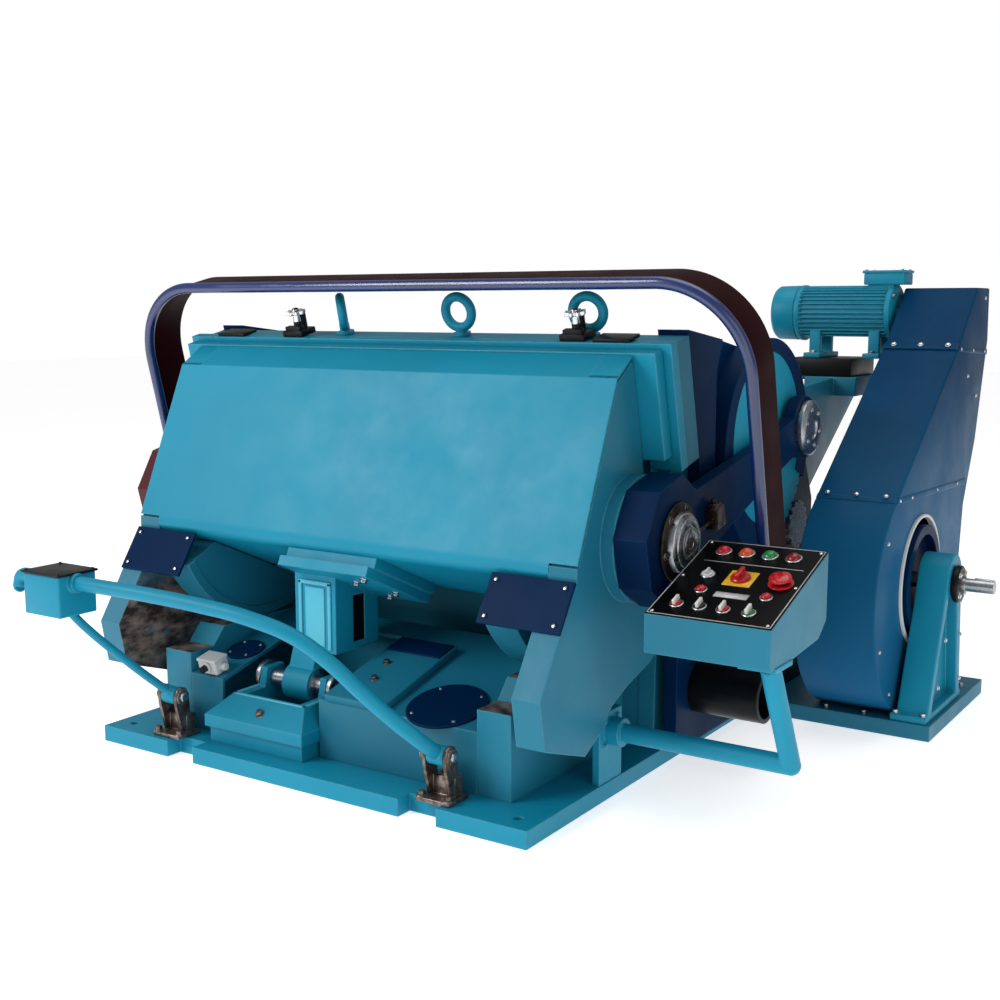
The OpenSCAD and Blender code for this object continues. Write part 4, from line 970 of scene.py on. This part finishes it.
# %% Platform plate
PLATFORM = deck(0, 152)
step = plate([(12, 0), (252, 0), (252, 420), (12, 420)], 0.3, 26, 3, PLATFORM, flat=True)
finished("platform_step", step, "frame", "teal_paint", teal, "platform_plate")
cover = plate([(24, 322), (244, 322), (244, 414), (24, 414)], 25.8, 31, 2, PLATFORM, flat=True)
finished("platform_cover", cover, "frame", "navy_paint", navy)
step_bolts = [hexagon(moved(PLATFORM, x, y, 26), 20, 10) for x, y in ((113, 139), (84, 244))]
finished("platform_bolts", step_bolts, "frame", "machined_steel", iron)
disc_screws = [hexagon(moved(deck(x, y), u, v, 8), 9, 3)
               for x, y, r in ((425, 250, 112), (-520, 345, 54))
               for u, v in ring_of((0, 0), r, 4, 45)]
finished("deck_cover_screws", disc_screws, "frame", "machined_steel", steel)

# %% [markdown]
# ## Chase clamps and knobs
# Star grips pull the chase against the bed. The star is one outline of eight lobes, extruded and
# rounded, on a threaded stud, because a hand needs the lobes and a lathe can't make them.

# %% Chase clamps and knobs
STUD_Y = 48
star = []
for a in range(0, 360, 5):
    star += arc((0, 0), 30 + 5 * math.cos(8 * math.radians(a)), [a])
clamp_parts, pads = [], []
for side, x, pad_x in (("left", -500, -865), ("right", 655, 730)):
    clamp_parts += [block((x - 45, 8, 210), (x + 45, 88, 232), 4, DIE),
                    block((x - 12, 64, 231.5), (x + 12, 86, 281), 3, DIE),
                    turned([(231, 0), (231, 20), (240, 20), (244, 15), (258, 15), (258, 0)],
                           moved(DIE, x, STUD_Y, 0), 0.8, 32, "Z"),
                    block((x - 34, 14, 232), (x + 34, 40, 246), 3, DIE)]
    pads.append(block((pad_x, 3, 210), (pad_x + 130, 77, 222), 3, DIE))
    top = moved(DIE, x, STUD_Y, 258.5)
    knob = [turned([(0, 0), (0, 14), (24, 12), (28, 16), (28, 0)], top, 0.6, 32, "Z"),
            plate(star, 26, 40, 4, top, flat=True),
            turned([(38, 0), (38, 15), (45, 13), (49, 8), (50, 0)], top, 0.5, 32, "Z")]
    finished(f"{side}_star_grip", knob, f"{side}_knob", "machined_steel", bright,
             f"{side}_clamp_knob")
finished("clamp_bodies", clamp_parts, "frame", "black_paint", black, "chase_clamps")
finished("clamp_pads", pads, "frame", "black_paint", black)

# %% [markdown]
# ## Limit switch
# A small die-cast housing with a screwed lid, a cable gland and a plunger that the bail's foot
# pushes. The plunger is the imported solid, so its guide is bored out of the housing.

# %% Limit switch
SWITCH = deck(-565, 165)
shell = [block((0, 0, 0.5), (84, 62, 46), 5, SWITCH), block((-2, -2, 45), (86, 64, 57), 4, SWITCH)]
shell += [hexagon(moved(SWITCH, x, y, 56), 7, 2.5) for y in (8, 54) for x in (8, 76)]
shell.append(rod(spot(SWITCH, 84, 31, 24), spot(SWITCH, 104, 31, 24), 13, 2, 24))
shell.append(rod(spot(SWITCH, 44, -2, 30), spot(SWITCH, 44, -10, 30), 20, 2, 32))
housing = join(shell)
cut(housing, rod(spot(SWITCH, 44, -20, 30), spot(SWITCH, 44, 40, 30), 12.3, 0, 32))
finished("limit_switch_housing", tidy(housing), "frame", "white_paint", silver, "limit_switch")

# %% [markdown]
# ## Floor and light
# A plain pale floor and soft studio light: one big key from the front left, a weak fill, and a
# bright world that only the camera sees in full, so the ground stays white.

# %% Floor and light
pick()
bpy.ops.mesh.primitive_plane_add(size=60.0, location=(0, 0, -0.001))
floor = bpy.context.object
floor.name = "floor"
floor_finish, tree, shader, place = begin("pale floor")
tone = layered(tree, lin("#fbfbfb"), (patches(tree, place, 1500, 0.3, 0.7), lin("#ffffff")))
tree.links.new(tone, shader.inputs["Base Color"])
shader.inputs["Roughness"].default_value = 0.7
# A little light of its own, so the ground fades into the white behind it.
shader.inputs["Emission Color"].default_value = (1, 1, 1, 1)
shader.inputs["Emission Strength"].default_value = 0.62
floor.data.materials.append(floor_finish)

world = bpy.data.worlds.new("studio")
world.use_nodes = True
sky = world.node_tree
sky.nodes.clear()
seen = add(sky, "ShaderNodeLightPath").outputs["Is Camera Ray"]
power = add(sky, "ShaderNodeMapRange", {"Value": seen, "To Min": 0.36, "To Max": 1.0}).outputs[0]
light = add(sky, "ShaderNodeBackground", {"Color": (1, 1, 1, 1), "Strength": power})
sky.links.new(light.outputs[0], add(sky, "ShaderNodeOutputWorld").inputs[0])
bpy.context.scene.world = world
bpy.context.scene.view_settings.view_transform = "Standard"

# Name, place, what it points at, size in metres and power in watts.
for name, stands, target, size, watts in (
        ("key", (-3.4, -4.6, 4.4), (0, 0.4, 0.8), 3.0, 270.0),
        ("fill", (5.5, -2.0, 2.6), (0.3, 0.8, 0.7), 4.0, 50.0),
        ("top", (0.8, 1.5, 6.0), (0, 0.8, 0.5), 4.0, 90.0)):
    lamp = bpy.data.lights.new(name, "AREA")
    lamp.size, lamp.energy = size, watts
    holder = bpy.data.objects.new(name, lamp)
    holder.location = stands
    holder.rotation_euler = (Vector(target) - Vector(stands)).to_track_quat("-Z", "Y").to_euler()
    bpy.context.scene.collection.objects.link(holder)
